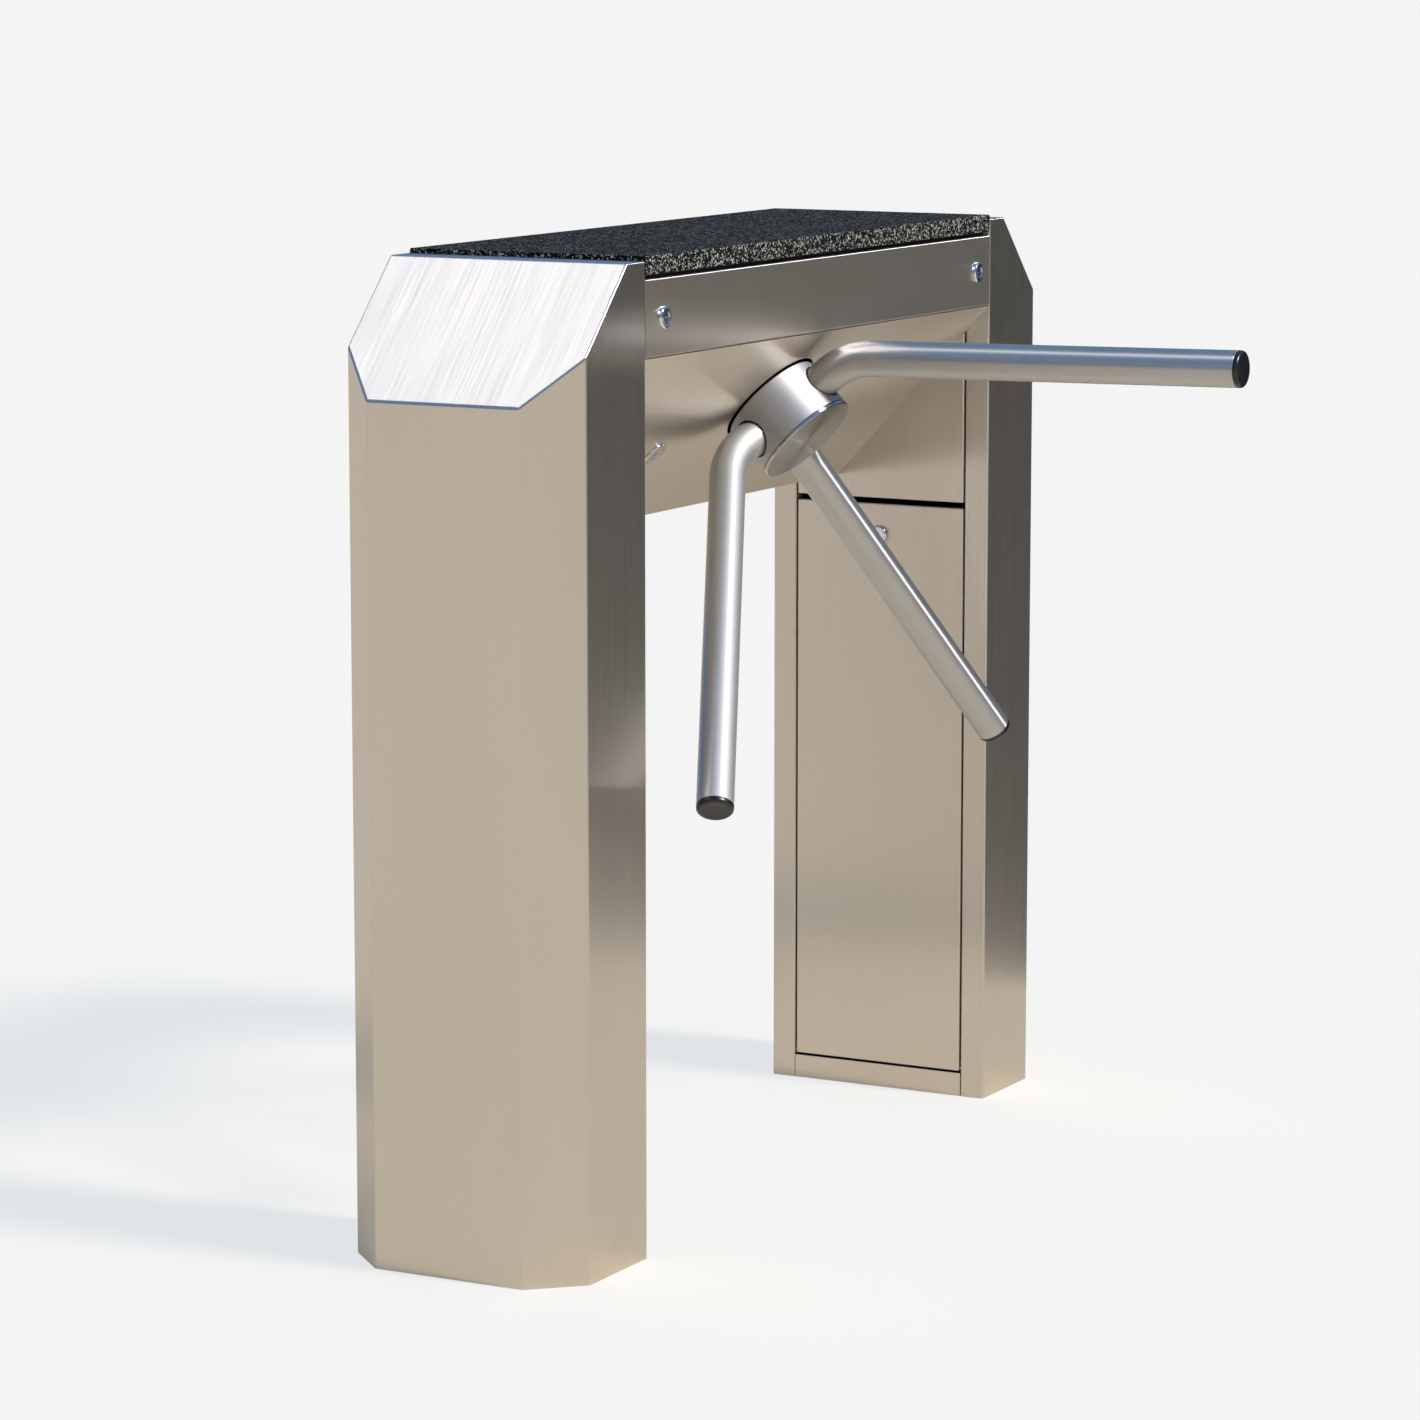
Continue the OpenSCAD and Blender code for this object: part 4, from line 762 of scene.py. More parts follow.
def lathe(profile, place, segments, closed=False, bm=None):
    """Turned mesh of (radius, height) points about Z of a frame; a radius of zero makes a pole."""
    bm = bm or bmesh.new()
    rings = []
    for radius, height in profile:
        turns = [2 * math.pi * i / segments for i in range(segments if radius > WELD else 1)]
        rings.append([bm.verts.new(place @ Vector((
            (radius * math.cos(a), radius * math.sin(a), height) if radius > WELD else (0, 0, height))))
            for a in turns])
    for lower, upper in list(zip(rings, rings[1:])) + ([(rings[-1], rings[0])] if closed else []):
        for i in range(segments):
            j = (i + 1) % segments
            corners = [row[k % len(row)] for row, k in ((lower, i), (lower, j), (upper, j), (upper, i))]
            bm.faces.new([v for k, v in enumerate(corners) if v not in corners[:k]])
    face_outwards(bm)
    return bm


def arc(centre, radius, start, end, steps):
    """Points of an arc, its angles in degrees."""
    turns = [math.radians(start + (end - start) * i / steps) for i in range(steps + 1)]
    return [(centre[0] + radius * math.cos(a), centre[1] + radius * math.sin(a)) for a in turns]


def welded(node):
    """A copy of a node's mesh with its loose triangles joined."""
    bm = bmesh.new()
    bm.from_mesh(frame["nodes"][node].data)
    bmesh.ops.remove_doubles(bm, verts=bm.verts, dist=WELD)
    return bm


def machined(paint, width, *nodes):
    """Copies of nodes, their triangles merged into faces and their edges broken by a fine chamfer."""
    for node in nodes:
        bm = welded(node)
        bmesh.ops.dissolve_limit(bm, angle_limit=math.radians(1), verts=bm.verts, edges=bm.edges)
        stand_for(chamfered(piece_from(bm, node + "_machined", paint), width, angle=35), node)


def solids_of(node, place):
    """Lowest corner, highest corner and all corners of each separate solid of a node, in a frame."""
    bm = welded(node)
    bm.transform(place.inverted())
    left = set(bm.verts)
    solids = []
    while left:
        stack = [left.pop()]
        corners = []
        while stack:
            vert = stack.pop()
            corners.append(vert.co.copy())
            beside = {edge.other_vert(vert) for edge in vert.link_edges} & left
            left -= beside
            stack += beside
        low, high = (Vector([pick(p[axis] for p in corners) for axis in range(3)]) for pick in (min, max))
        solids.append((low, high, corners))
    bm.free()
    return sorted(solids, key=lambda solid: tuple(solid[0]))


# Geometry Nodes

def grow(bm, place, build, values, paint, points=((0, 0, 0),)):
    """Adds what a Geometry Nodes tree makes: build links its nodes to the named values and the points."""
    tree = bpy.data.node_groups.new(build.__name__, "GeometryNodeTree")
    tree.interface.new_socket("Geometry", in_out="INPUT", socket_type="NodeSocketGeometry")
    named = {}
    for label, value in values.items():
        kind = "NodeSocketInt" if isinstance(value, int) else "NodeSocketFloat"
        named[label] = tree.interface.new_socket(label, in_out="INPUT", socket_type=kind).identifier
    tree.interface.new_socket("Geometry", in_out="OUTPUT", socket_type="NodeSocketGeometry")
    real = add(tree, "GeometryNodeRealizeInstances", (build(tree, tree.nodes.new("NodeGroupInput").outputs),))
    painted = add(tree, "GeometryNodeSetMaterial", {"Geometry": real, "Material": finish(paint)})
    add(tree, "NodeGroupOutput", {"Geometry": painted})
    seed = bpy.data.meshes.new(build.__name__)
    seed.from_pydata([tuple(p) for p in points], [], [])
    holder = bpy.data.objects.new(build.__name__, seed)
    bpy.context.scene.collection.objects.link(holder)
    modifier = holder.modifiers.new("grow", "NODES")
    modifier.node_group = tree
    for label, identifier in named.items():
        modifier[identifier] = values[label]
    mesh = plain_mesh(holder)
    mesh.transform(place)
    bm.from_mesh(mesh)
    bpy.data.objects.remove(holder)
    bpy.data.meshes.remove(seed)
    bpy.data.meshes.remove(mesh)


def moved_up(tree, shape, height, share):
    """A shape moved along Z by a share of a height."""
    rise = add(tree, "ShaderNodeMath", (height, share), operation="MULTIPLY")
    return add(tree, "GeometryNodeTransform", {
        "Geometry": shape, "Translation": add(tree, "ShaderNodeCombineXYZ", {"Z": rise})})


def ball_ring(tree, values):
    """Balls evenly round a circle."""
    ring = add(tree, "GeometryNodeMeshCircle", {"Vertices": values["Count"], "Radius": values["Ring radius"]})
    ball = add(tree, "GeometryNodeMeshUVSphere", {
        "Segments": 24, "Rings": 14, "Radius": values["Ball radius"]})
    return add(tree, "GeometryNodeInstanceOnPoints", {"Points": ring, "Instance": ball})


def socket_screws(tree, values):
    """Socket head screws with their shoulders at the points, and their heads towards -Z."""
    head = add(tree, "GeometryNodeMeshCylinder", {
        "Vertices": 32, "Radius": values["Head radius"], "Depth": values["Head height"]})
    deep = add(tree, "ShaderNodeMath", (values["Socket depth"], 2.0), operation="MULTIPLY")
    hexagon = add(tree, "GeometryNodeMeshCylinder", {
        "Vertices": 6, "Radius": values["Socket radius"], "Depth": deep})
    shank = add(tree, "GeometryNodeMeshCylinder", {
        "Vertices": 24, "Radius": values["Shank radius"], "Depth": values["Shank length"]})
    cut = add(tree, "GeometryNodeMeshBoolean", {
        "Mesh 1": moved_up(tree, head, values["Head height"], -0.5),
        "Mesh 2": moved_up(tree, hexagon, values["Head height"], -1.0)}, operation="DIFFERENCE")
    whole = add(tree, "GeometryNodeJoinGeometry", (cut,))
    tree.links.new(moved_up(tree, shank, values["Shank length"], 0.5).outputs[0], whole.inputs[0])
    return add(tree, "GeometryNodeInstanceOnPoints", {"Points": values["Geometry"], "Instance": whole})


def wire_springs(tree, values):
    """Helical springs that stand on the points."""
    path = add(tree, "GeometryNodeCurveSpiral", {
        "Resolution": 48, "Rotations": values["Turns"], "Start Radius": values["Coil radius"],
        "End Radius": values["Coil radius"], "Height": values["Height"]})
    wire = add(tree, "GeometryNodeCurvePrimitiveCircle", {"Resolution": 14, "Radius": values["Wire radius"]})
    coil = add(tree, "GeometryNodeCurveToMesh", {"Curve": path, "Profile Curve": wire, "Fill Caps": True})
    return add(tree, "GeometryNodeInstanceOnPoints", {"Points": values["Geometry"], "Instance": coil})


def vented_case(tree, values):
    """Box centred on the origin, with rows of vent slots in its +Y face."""
    size = add(tree, "ShaderNodeCombineXYZ", (values["Width"], values["Depth"], values["Height"]))
    box = add(tree, "GeometryNodeMeshCube", {"Size": size})
    grid = add(tree, "GeometryNodeMeshGrid", {
        "Size X": values["Field width"], "Size Y": values["Field height"], "Vertices X": values["Columns"],
        "Vertices Y": values["Rows"]})
    half = add(tree, "ShaderNodeMath", (values["Depth"], 0.5), operation="MULTIPLY")
    face = add(tree, "GeometryNodeTransform", {
        "Geometry": grid, "Translation": add(tree, "ShaderNodeCombineXYZ", {"Y": half}),
        "Rotation": (math.pi / 2, 0, 0)})
    deep = add(tree, "ShaderNodeMath", (values["Slot depth"], 2.0), operation="MULTIPLY")
    cutter = add(tree, "ShaderNodeCombineXYZ", (values["Slot length"], deep, values["Slot width"]))
    slots = add(tree, "GeometryNodeInstanceOnPoints", {
        "Points": face, "Instance": add(tree, "GeometryNodeMeshCube", {"Size": cutter})})
    return add(tree, "GeometryNodeMeshBoolean", {
        "Mesh 1": box, "Mesh 2": add(tree, "GeometryNodeRealizeInstances", (slots,))}, operation="DIFFERENCE")


# Operators

class TURNSTILE_OT_posts(bpy.types.Operator):
    """Makes both post shells, their sills and the fixed panels over the doors"""

    bl_idname = "turnstile.make_posts"
    bl_label = "Posts"

    def execute(self, context):
        sizes = settings().cabinet
        for side_name in SIDES:
            post_shell(side_name)
        machined(brushed_upright, SHEET_CHAMFER, "door_sills")
        low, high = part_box("upper_panels")
        door_low, door_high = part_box("near_door")
        foot = Vector((door_low.x, 0, low.z))
        head = Vector((door_high.x, 0, high.z - sizes.head_fold - sizes.panel_gap))
        back = door_high.y - sizes.sheet
        wide = door_high.x - sizes.stile_return
        tab_foot = head.z - sizes.head_fold
        panels = bmesh.new()
        for side_name in SIDES:
            bm = pan(foot, head, door_high.y, sizes.head_fold, sizes.head_fold, 0)
            bevel_folds(bm, sizes.door_fold_r)
            tab = [(-wide, high.z), (wide, high.z), (wide, tab_foot), (-wide, tab_foot)]
            bm.faces.new([bm.verts.new((x, back, z)) for x, z in tab])
            put_on(side_name, bm)
            mesh = bpy.data.meshes.new("panel")
            bm.to_mesh(mesh)
            bm.free()
            panels.from_mesh(mesh)
            bpy.data.meshes.remove(mesh)
        piece = piece_from(panels, "upper_panels_folded", brushed_upright)
        stand_for(thickened(piece, sizes.door_sheet), "upper_panels")
        return {"FINISHED"}


class TURNSTILE_OT_doors(bpy.types.Operator):
    """Makes both post doors"""

    bl_idname = "turnstile.make_doors"
    bl_label = "Doors"

    def execute(self, context):
        sizes = settings().cabinet
        low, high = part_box("near_door")
        for side_name in SIDES:
            bm = pan(low, high, high.y, sizes.door_fold, sizes.head_fold, sizes.door_lip)
            bevel_folds(bm, sizes.door_fold_r)
            put_on(side_name, bm)
            door = piece_from(bm, side_name + "_door_panel", brushed_upright)
            stand_for(thickened(door, sizes.door_sheet), side_name + "_door")
        return {"FINISHED"}


class TURNSTILE_OT_bridge(bpy.types.Operator):
    """Makes the sheets of the bridge between the posts"""

    bl_idname = "turnstile.make_bridge"
    bl_label = "Bridge"

    def execute(self, context):
        machined(brushed_slope, SHEET_CHAMFER, "slope_panel", "bottom_panel")
        machined(brushed_upright, SHEET_CHAMFER, "rear_panel", "bridge_end_plates")
        return {"FINISHED"}


class TURNSTILE_OT_cover(bpy.types.Operator):
    """Makes the granite slab, its bed, the tray and the front band"""

    bl_idname = "turnstile.make_cover"
    bl_label = "Cover"

    def execute(self, context):
        sizes = settings().cover
        cabinet = settings().cabinet
        low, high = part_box("cover_band")
        rear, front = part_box("cover_tray")
        band = [(high.x - sizes.band_return, low.z), (high.x, low.z), (high.x, high.z),
                (high.x - sizes.band_lip, high.z)]
        tray = [(front.x, high.z), (rear.x, high.z), (rear.x, high.z - sizes.rear_fold)]
        for node, profile, paint in (("cover_band", band, brushed_band), ("cover_tray", tray, brushed_facet)):
            bm = folded_strip(profile, low.y, high.y, cabinet.fold_r)
            stand_for(thickened(piece_from(bm, node + "_folded", paint), cabinet.sheet), node)
        machined(bed_rubber, SOFT_CHAMFER, "slab_bed")
        self.make_slab(sizes)
        return {"FINISHED"}

    def make_slab(self, sizes):
        """Slab with rough sawn edges and a worn arris."""
        low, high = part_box("granite_slab")
        bm = bmesh.new()
        extrude_outline(bm, [
            (low.x, 0, low.z), (high.x, 0, low.z), (high.x, 0, high.z - sizes.slab_arris),
            (high.x - sizes.slab_arris, 0, high.z), (low.x + sizes.slab_arris, 0, high.z),
            (low.x, 0, high.z - sizes.slab_arris)], Vector((0, low.y, 0)), (0, high.y - low.y, 0))
        for axis in (0, 1):
            count = round((high[axis] - low[axis]) / sizes.stone_step)
            for i in range(1, count):
                point = Vector()
                point[axis] = low[axis] + (high[axis] - low[axis]) * i / count
                cut_through(bm, point, (1 - axis, axis, 0))
        for share in (0.25, 0.5, 0.75):
            cut_through(bm, (0, 0, low.z + (high.z - sizes.slab_arris - low.z) * share), UP)
        for face in faces_where(bm, lambda c, n: n.z < 0.9):
            face.material_index = 1
        slab = piece_from(bm, "granite_slab_stone", granite_honed, granite_sawn)
        rough = bpy.data.textures.new("sawn_stone", "CLOUDS")
        rough.noise_scale = sizes.stone_grain
        inner_x, inner_y = high.x - 2 * sizes.slab_arris, high.y - sizes.stone_step / 2
        slab.vertex_groups.new(name="edges").add([
            v.index for v in slab.data.vertices if not (abs(v.co.x) < inner_x and abs(v.co.y) < inner_y)],
            1.0, "REPLACE")
        dressed(slab, ("DISPLACE", {"texture": rough, "strength": -sizes.stone_rough * 2, "mid_level": 0.0,
                                    "vertex_group": "edges", "texture_coords": "LOCAL"}), sharp=30.0)
        slab.vertex_groups.clear()
        stand_for(slab, "granite_slab")


class TURNSTILE_OT_hub(bpy.types.Operator):
    """Makes the hub shell with its arm holes, and the hub cap"""

    bl_idname = "turnstile.make_hub"
    bl_label = "Hub"

    def execute(self, context):
        sizes = settings().rotor
        inner = sizes.hub_r - sizes.hub_wall
        top = sizes.hub_gap + sizes.shell_l
        edge = sizes.edge_r
        crisp = edge * sizes.crisp
        profile = [(inner, sizes.hub_gap), *arc((sizes.hub_r - edge, sizes.hub_gap + edge), edge, -90, 0, 4),
                   *arc((sizes.hub_r - crisp, top - crisp), crisp, 0, 90, 4), (inner, top)]
        shell = piece_from(lathe(profile, rotor_frame(), HUB_SEGMENTS, closed=True), "hub_shell_turned",
                           turned_side)
        cutters = bmesh.new()
        hole = sizes.arm_d / 2 + sizes.arm_hole_gap
        bore = [(0, 0), (hole, 0), (hole, sizes.hub_r), (0, sizes.hub_r)]
        for i in range(sizes.arms):
            place = rotor_frame(2 * math.pi * i / sizes.arms) @ Matrix.Translation(
                (sizes.arm_root, 0, sizes.arm_rise)) @ Matrix.Rotation(math.pi / 2, 4, "Y")
            lathe(bore, place, TUBE_SEGMENTS, bm=cutters)
        cutter = piece_from(cutters, "arm_holes")
        apply(shell, ("BOOLEAN", {"object": cutter, "operation": "DIFFERENCE", "solver": "EXACT"}))
        bpy.data.objects.remove(cutter)
        stand_for(chamfered(shell, SOFT_CHAMFER, angle=40, segments=3, sharp=35.0), "hub_shell")
        base = top + sizes.cap_seam
        face = base + sizes.cap_t
        ledge = base + sizes.cap_groove / 2
        groove = sizes.hub_r - sizes.cap_groove
        # Rings across the cap's face keep its facets short
        rings = [(sizes.hub_r * share, face) for share in (0.6, 0.2, 0)]
        profile = [(0, base - sizes.cap_t), (inner - NEAR, base - sizes.cap_t), (inner - NEAR, base),
                   (groove, base), (groove, ledge), (sizes.hub_r, ledge),
                   *arc((sizes.hub_r - edge, face - edge), edge, 0, 90, 4), *rings]
        cap = piece_from(lathe(profile, rotor_frame(), HUB_SEGMENTS), "hub_cap_turned", turned_face)
        stand_for(dressed(cap), "hub_cap")
        return {"FINISHED"}


class TURNSTILE_OT_arms(bpy.types.Operator):
    """Makes the three bent arms and their end plugs"""

    bl_idname = "turnstile.make_arms"
    bl_label = "Arms"

    def execute(self, context):
        sizes = settings().rotor
        for i, name in enumerate(("level", "near", "far")):
            place = rotor_frame(2 * math.pi * i / sizes.arms)
            arm = piece_from(self.tube(sizes, place), name + "_arm_tube", satin_tube)
            stand_for(dressed(arm, sharp=35.0), name + "_arm")
            plug = piece_from(self.plug(sizes, place), name + "_arm_plug_moulded", moulded_polyethylene)
            stand_for(dressed(plug, sharp=50.0), name + "_arm_plug")
        return {"FINISHED"}

    def stations(self, sizes):
        """Centres and turns of the tube's rings, in the arm's plane."""
        leg = sizes.bend_r * math.tan(sizes.bend / 2)
        start = sizes.arm_corner - leg
        rings = [(Vector((sizes.arm_root, 0, sizes.arm_rise)), 0.0)]
        for k in range(BEND_STEPS + 1):
            turn = sizes.bend * k / BEND_STEPS
            rings.append((Vector((start + sizes.bend_r * math.sin(turn), 0,
                                  sizes.arm_rise + sizes.bend_r * (1 - math.cos(turn)))), turn))
        straight = sizes.arm_reach - leg - sizes.plug_head
        last = rings[-1][0] + Vector((math.cos(sizes.bend), 0, math.sin(sizes.bend))) * straight
        return rings + [(last, sizes.bend)]

    def tube(self, sizes, place):
        """Tube with its open end and a recess for the plug."""
        radius = sizes.arm_d / 2
        *rings, (last, turn) = self.stations(sizes)
        out = Vector((math.cos(turn), 0, math.sin(turn)))
        bore = radius - sizes.arm_wall
        edge = sizes.arm_edge
        steps = [(centre, angle, radius) for centre, angle in rings]
        steps += [(last - out * edge, turn, radius), (last, turn, radius - edge), (last, turn, bore),
                  (last - out * (sizes.plug_tail + sizes.plug_room), turn, bore)]
        bm = bmesh.new()
        layer = bm.loops.layers.uv.new(TUBE_MAP)
        side = Vector((0, 1, 0))
        loops = []
        for centre, angle, r in steps:
            up = Vector((-math.sin(angle), 0, math.cos(angle)))
            turns = [2 * math.pi * i / TUBE_SEGMENTS for i in range(TUBE_SEGMENTS)]
            loops.append([bm.verts.new(place @ (centre + r * (math.cos(a) * side + math.sin(a) * up)))
                          for a in turns])
        girth = 2 * math.pi * radius / TUBE_SEGMENTS
        along = 0.0
        for k in range(len(loops) - 1):
            lower, upper = loops[k], loops[k + 1]
            beyond = along + (steps[k + 1][0] - steps[k][0]).length + abs(steps[k + 1][2] - steps[k][2])
            for i in range(TUBE_SEGMENTS):
                j = (i + 1) % TUBE_SEGMENTS
                face = bm.faces.new((lower[i], lower[j], upper[j], upper[i]))
                spots = [(along, i), (along, i + 1), (beyond, i + 1), (beyond, i)]
                for loop, (far, facet) in zip(face.loops, spots):
                    loop[layer].uv = (far, facet * girth)
            along = beyond
        bm.faces.new(loops[0])
        bm.faces.new(loops[-1])
        face_outwards(bm)
        return bm

    def plug(self, sizes, place):
        """Plug with a rounded rim and a shallow dish in its end."""
        last, turn = self.stations(sizes)[-1]
        radius = sizes.arm_d / 2
        inside = radius - sizes.arm_wall - NEAR
        head, rim = sizes.plug_head, sizes.plug_round
        dish = (radius - rim) * sizes.dish_share
        # Points of the dish, as shares of its radius and of its depth
        hollow = [(dish * wide, head - sizes.plug_dish * deep)
                  for wide, deep in ((1, 0.4), (0.6, 0.9), (0, 1))]
        profile = [(0, -sizes.plug_tail), (inside - MM, -sizes.plug_tail), (inside, MM - sizes.plug_tail),
                   (inside, 0), (radius, 0), *arc((radius - rim, head - rim), rim, 0, 90, 8),
                   (dish + MM, head), *hollow]
        end = place @ Matrix.Translation(last) @ Matrix.Rotation(math.pi / 2 - turn, 4, "Y")
        return lathe(profile, end, LOCK_SEGMENTS)


class TURNSTILE_OT_locks(bpy.types.Operator):
    """Makes the five cam locks"""

    bl_idname = "turnstile.make_locks"
    bl_label = "Locks"

    def execute(self, context):
        sizes = settings().locks
        sheet = settings().cabinet.sheet
        door_sheet = settings().cabinet.door_sheet
        frames = lock_frames()
        for node, names, flange_r, height, behind in (
                ("cover_lock_bodies", ("near_band", "far_band"), sizes.band_flange_r, sizes.flange_h, sheet),
                ("near_door_lock_body", ("near_door",), sizes.door_flange_r, sizes.flange_h, door_sheet),
                ("far_door_lock_body", ("far_door",), sizes.door_flange_r, sizes.flange_h, door_sheet),
                ("slope_lock_body", ("slope",), sizes.slope_flange_r, sizes.slope_flange_h, sheet)):
            bm = bmesh.new()
            profile = self.profile(sizes, flange_r, height, behind)
            for name in names:
                lathe(profile, frames[name], LOCK_SEGMENTS, closed=True, bm=bm)
            stand_for(dressed(piece_from(bm, node + "_plated", plated)), node)
        machined(plated, 0.3, "near_band_lock_core", "far_band_lock_core", "near_door_lock_core",
                 "far_door_lock_core", "slope_lock_core")
        return {"FINISHED"}

    def profile(self, sizes, flange_r, height, sheet):
        """Outline of a domed flange with a ring groove, and of the barrel and nut behind the sheet."""
        bore = sizes.core_r + sizes.core_gap
        collar = bore + sizes.collar_t
        dome = height * sizes.dome_share
        turns = [math.radians(15 * k) for k in range(6)]
        front = [(flange_r, 0), *((flange_r - dome * (1 - math.cos(a)), height - dome + dome * math.sin(a))
                                  for a in turns)]
        # The groove round the core, in millimetres out from the collar or the bore and up from the face
        groove = [(edge + out * MM, height + up * MM) for edge, out, up in (
            (collar, 0.5, 0), (collar, 0.3, -0.5), (collar, -0.2, -0.5), (collar, -0.4, -0.1),
            (bore, 0.2, -0.1), (bore, 0, -0.4))]
        barrel_r, foot = sizes.barrel_r, -sizes.barrel_l
        nut = [(barrel_r, -sheet - sizes.nut_t), (sizes.nut_r, -sheet - sizes.nut_t), (sizes.nut_r, -sheet),
               (barrel_r, -sheet)]
        return [*front, (max(flange_r - dome, collar + MM), height), *groove, (bore, foot),
                (barrel_r, foot), *nut, (barrel_r, 0)]


class TURNSTILE_OT_mechanism(bpy.types.Operator):
    """Finishes the rails, the plate, the shaft, the gears, the levers and the electrics inside"""

    bl_idname = "turnstile.make_mechanism"
    bl_label = "Mechanism"

    def execute(self, context):
        sizes = settings().mechanism
        machined(zinc_plated, 0.4, "near_base_plate", "far_base_plate", "door_studs", "upper_rail",
                 "lower_rail", "mechanism_plate", "lever_pivots", "cover_hinge_leaves",
                 "cover_hinge_knuckles", "shaft_nut", "drive_gear", "index_disc", "near_lever", "far_lever")
        machined(ground_steel, 0.25, "main_shaft", "near_plunger", "far_plunger")
        self.make_bearings(sizes)
        self.make_screws(sizes)
        self.make_springs(sizes)
        machined(cast_aluminium, SOFT_CHAMFER, "hub_carrier")
        machined(painted_casting, SOFT_CHAMFER, "bearing_housing")
        machined(machined_brass, 0.2, "damper_pinion")
        machined(black_nylon, 0.6, "solenoids", "damper_body", "position_sensor")
        self.make_case(sizes, "control_unit", 0)
        self.make_case(sizes, "power_supply", math.pi)
        return {"FINISHED"}

    def make_bearings(self, sizes):
        """Two ball bearings: both races, grooved for the balls, and the balls between them."""
        place = slope_frame()
        bm = bmesh.new()
        for low, high, corners in solids_of("shaft_bearings", place):
            outer = high.x
            inner = min(math.hypot(p.x, p.y) for p in corners)
            middle = (outer + inner) / 2
            height = (low.z + high.z) / 2
            ball = (outer - inner) * sizes.ball_share / 2
            for edge, side in ((inner, 1), (outer, -1)):
                shoulder = edge + side * sizes.race_t
                groove = arc((middle, height), ball + NEAR, 90 + side * 50, 90 + side * 130, 8)
                groove = sorted([p for p in groove if side * (p[0] - edge) > MM], key=lambda p: p[1])
                lathe([(edge, low.z), (shoulder, low.z), *groove, (shoulder, high.z), (edge, high.z)], place,
                      RACE_SEGMENTS, closed=True, bm=bm)
            grow(bm, place @ Matrix.Translation((0, 0, height)), ball_ring, {
                "Count": sizes.balls, "Ring radius": middle, "Ball radius": ball}, ground_steel)
        piece = piece_from(bm, "shaft_bearings_balls_and_races", ground_steel)
        stand_for(dressed(piece), "shaft_bearings")

    def make_screws(self, sizes):
        """Socket head screws of the mechanism plate and of the bearing housing's flange."""
        place = slope_frame()
        groups = {1: [], -1: []}
        for low, high, corners in solids_of("mechanism_screws", place):
            middle = (low + high) / 2
            rim = [p.z for p in corners if (p - middle).xy.length > sizes.shank_r + MM]
            side = 1 if sum(rim) / len(rim) < middle.z else -1
            shoulder = low.z + sizes.head_h if side > 0 else high.z - sizes.head_h
            spot = Vector((middle.x, middle.y * side, shoulder * side))
            groups[side].append((spot, high.z - low.z - sizes.head_h))
        bm = bmesh.new()
        for side, turn in ((1, 0), (-1, math.pi)):
            spots, shanks = zip(*groups[side])
            grow(bm, place @ Matrix.Rotation(turn, 4, "X"), socket_screws, {
                "Head radius": sizes.head_r, "Head height": sizes.head_h, "Socket radius": sizes.socket_r,
                "Socket depth": sizes.socket_d, "Shank radius": sizes.shank_r, "Shank length": shanks[0]},
                zinc_plated, spots)
        piece = piece_from(bm, "mechanism_screws_socket_heads", zinc_plated)
        stand_for(chamfered(piece, 0.3, angle=50), "mechanism_screws")

    def make_springs(self, sizes):
        """Return springs of the two locking levers."""
        place = slope_frame()
        solids = solids_of("lever_springs", place)
        spots = [Vector(((low.x + high.x) / 2, (low.y + high.y) / 2, low.z + sizes.wire_r))
                 for low, high, _ in solids]
        size = solids[0][1] - solids[0][0]
        bm = bmesh.new()
        grow(bm, place, wire_springs, {
            "Turns": sizes.coils, "Coil radius": size.x / 2 - sizes.wire_r,
            "Height": size.z - 2 * sizes.wire_r, "Wire radius": sizes.wire_r}, ground_steel, spots)
        stand_for(dressed(piece_from(bm, "lever_springs_wire", ground_steel)), "lever_springs")

    def make_case(self, sizes, node, turn):
        """Sheet case with vent slots in the face towards the door."""
        low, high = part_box(node)
        size = high - low
        columns = int((size.x - sizes.slot_l / 2) // sizes.column_pitch)
        rows = int((size.z - FREE_ROWS * sizes.slot_pitch) // sizes.slot_pitch)
        bm = bmesh.new()
        grow(bm, Matrix.Translation((low + high) / 2) @ Matrix.Rotation(turn, 4, "Z"), vented_case, {
            "Width": size.x, "Depth": size.y, "Height": size.z, "Columns": columns, "Rows": rows,
            "Field width": (columns - 1) * sizes.column_pitch, "Field height": (rows - 1) * sizes.slot_pitch,
            "Slot length": sizes.slot_l, "Slot width": sizes.slot_w, "Slot depth": sizes.slot_depth},
            powder_coat)
        stand_for(chamfered(piece_from(bm, node + "_case", powder_coat), 0.6, angle=50), node)


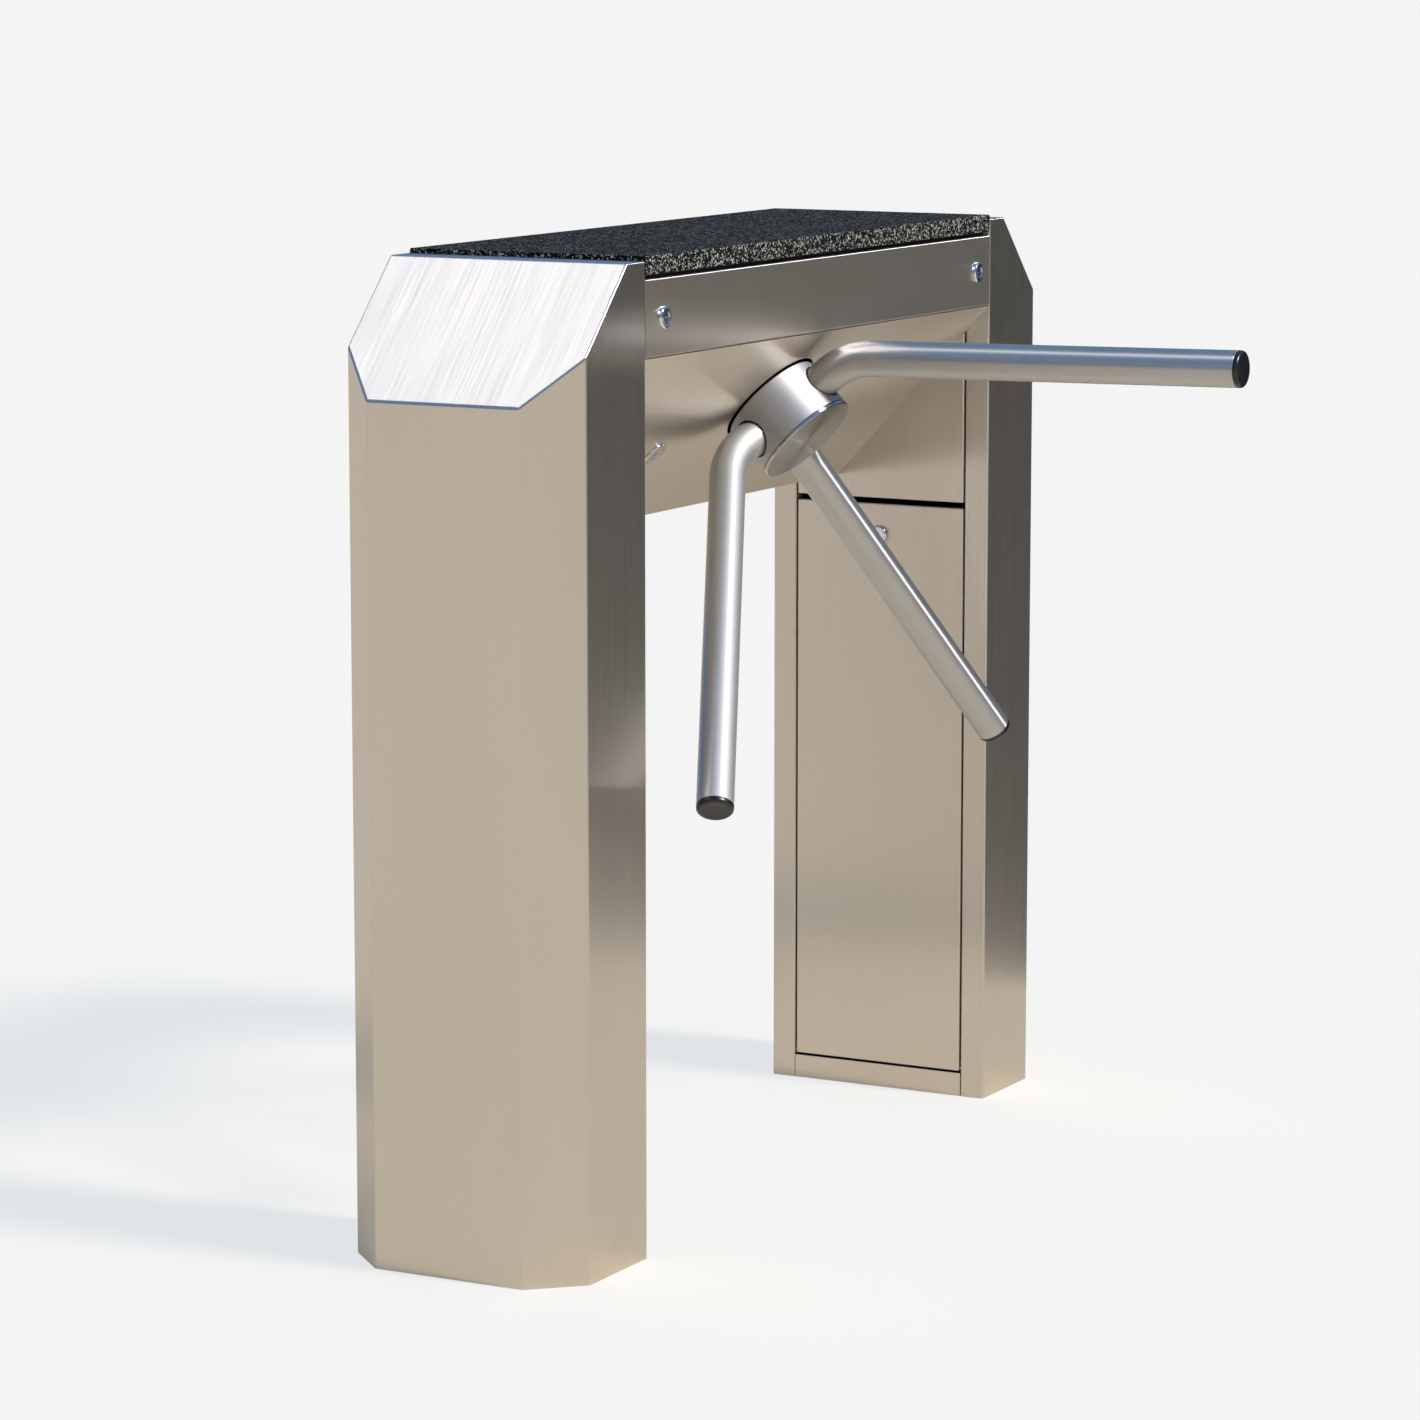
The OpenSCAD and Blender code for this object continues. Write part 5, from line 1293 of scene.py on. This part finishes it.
class TURNSTILE_OT_stage(bpy.types.Operator):
    """Makes the floor, the light and the camera"""

    bl_idname = "turnstile.make_stage"
    bl_label = "Stage"

    def execute(self, context):
        stage = settings().stage
        scene = bpy.context.scene
        data = bpy.data.cameras.new("camera")
        data.lens = stage.lens
        data.sensor_width = 36
        data.clip_end = 200
        camera = bpy.data.objects.new("camera", data)
        camera.location = stage.camera_at
        camera.rotation_euler = stage.camera_turn
        scene.collection.objects.link(camera)
        scene.camera = camera
        bm = bmesh.new()
        bmesh.ops.create_circle(bm, cap_ends=True, segments=96, radius=stage.floor_r)
        piece_from(bm, "floor", pale_floor)
        self.make_lamps(stage)
        self.make_world(stage)
        self.make_card(stage)
        scene.view_settings.view_transform = "Standard"
        return {"FINISHED"}

    def make_lamps(self, stage):
        """One broad lamp beside the passage, and its twin that only gloss shows."""
        for name, strength in (("lamp", stage.sun_strength), ("gleam", stage.gleam_strength)):
            data = bpy.data.lights.new(name, "SUN")
            data.energy = strength
            data.color = stage.sun_tint
            data.angle = stage.sun_angle
            lamp = bpy.data.objects.new(name, data)
            lamp.rotation_euler = Vector(stage.sun_from).to_track_quat("Z", "Y").to_euler()
            lamp.visible_diffuse = name == "lamp"
            bpy.context.scene.collection.objects.link(lamp)

    def make_world(self, stage):
        """Soft dome of cool light, darker towards the horizon, behind a plain backdrop."""
        world = bpy.data.worlds.new("soft_dome")
        bpy.context.scene.world = world
        world.use_nodes = True
        tree = world.node_tree
        tree.nodes.clear()
        direction = add(tree, "ShaderNodeTexCoord").outputs["Generated"]
        height = add(tree, "ShaderNodeSeparateXYZ", (direction,)).outputs["Z"]
        rise = add(tree, "ShaderNodeMapRange", (height, stage.haze_foot, stage.haze_head, 0, 1),
                   interpolation_type="SMOOTHSTEP")
        dome = add(tree, "ShaderNodeMix", {
            MIX_FACTOR: rise, MIX_A: rgba(stage.horizon), MIX_B: rgba(stage.dome)}, data_type="RGBA")
        seen = add(tree, "ShaderNodeLightPath").outputs["Is Camera Ray"]
        light, plain = (add(tree, "ShaderNodeBackground", (tone,)) for tone in (dome, rgba(stage.backdrop)))
        mixed = add(tree, "ShaderNodeMixShader", (seen, light, plain))
        add(tree, "ShaderNodeOutputWorld", {"Surface": mixed})

    def make_card(self, stage):
        """Dark card beside the passage, seen only in the gloss of the faces that look that way."""
        (x0, foot_y, foot_z), (x1, head_y, head_z) = stage.card_low, stage.card_high
        bm = bmesh.new()
        bm.faces.new([bm.verts.new(corner) for corner in (
            (x0, foot_y, foot_z), (x1, foot_y, foot_z), (x1, head_y, head_z), (x0, head_y, head_z))])
        card = piece_from(bm, "card", dark_card)
        for ray in ("camera", "diffuse", "shadow", "transmission"):
            setattr(card, "visible_" + ray, False)


class TURNSTILE_PT_panel(bpy.types.Panel):
    """Lists the turnstile's operators"""

    bl_idname = "TURNSTILE_PT_panel"
    bl_label = "Turnstile"
    bl_space_type = "VIEW_3D"
    bl_region_type = "UI"
    bl_category = "Turnstile"

    def draw(self, context):
        for operator in OPERATORS:
            self.layout.operator(operator.bl_idname)


OPERATORS = (
    TURNSTILE_OT_posts, TURNSTILE_OT_doors, TURNSTILE_OT_bridge, TURNSTILE_OT_cover, TURNSTILE_OT_hub,
    TURNSTILE_OT_arms, TURNSTILE_OT_locks, TURNSTILE_OT_mechanism, TURNSTILE_OT_stage)
GROUPS = (CabinetSizes, CoverSizes, RotorSizes, LockSizes, MechanismSizes, FinishColours, StageSizes,
          TurnstileSettings)


def register():
    """Registers the classes and the scene's settings."""
    for cls in GROUPS + OPERATORS + (TURNSTILE_PT_panel,):
        bpy.utils.register_class(cls)
    bpy.types.Scene.turnstile = PointerProperty(type=TurnstileSettings)


def unregister():
    """Takes the settings and the classes out again."""
    del bpy.types.Scene.turnstile
    for cls in reversed(GROUPS + OPERATORS + (TURNSTILE_PT_panel,)):
        bpy.utils.unregister_class(cls)


def main():
    """Makes every piece."""
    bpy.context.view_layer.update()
    register()
    for operator in OPERATORS:
        group, name = operator.bl_idname.split(".")
        getattr(getattr(bpy.ops, group), name)()


if __name__ == "__main__":
    main()
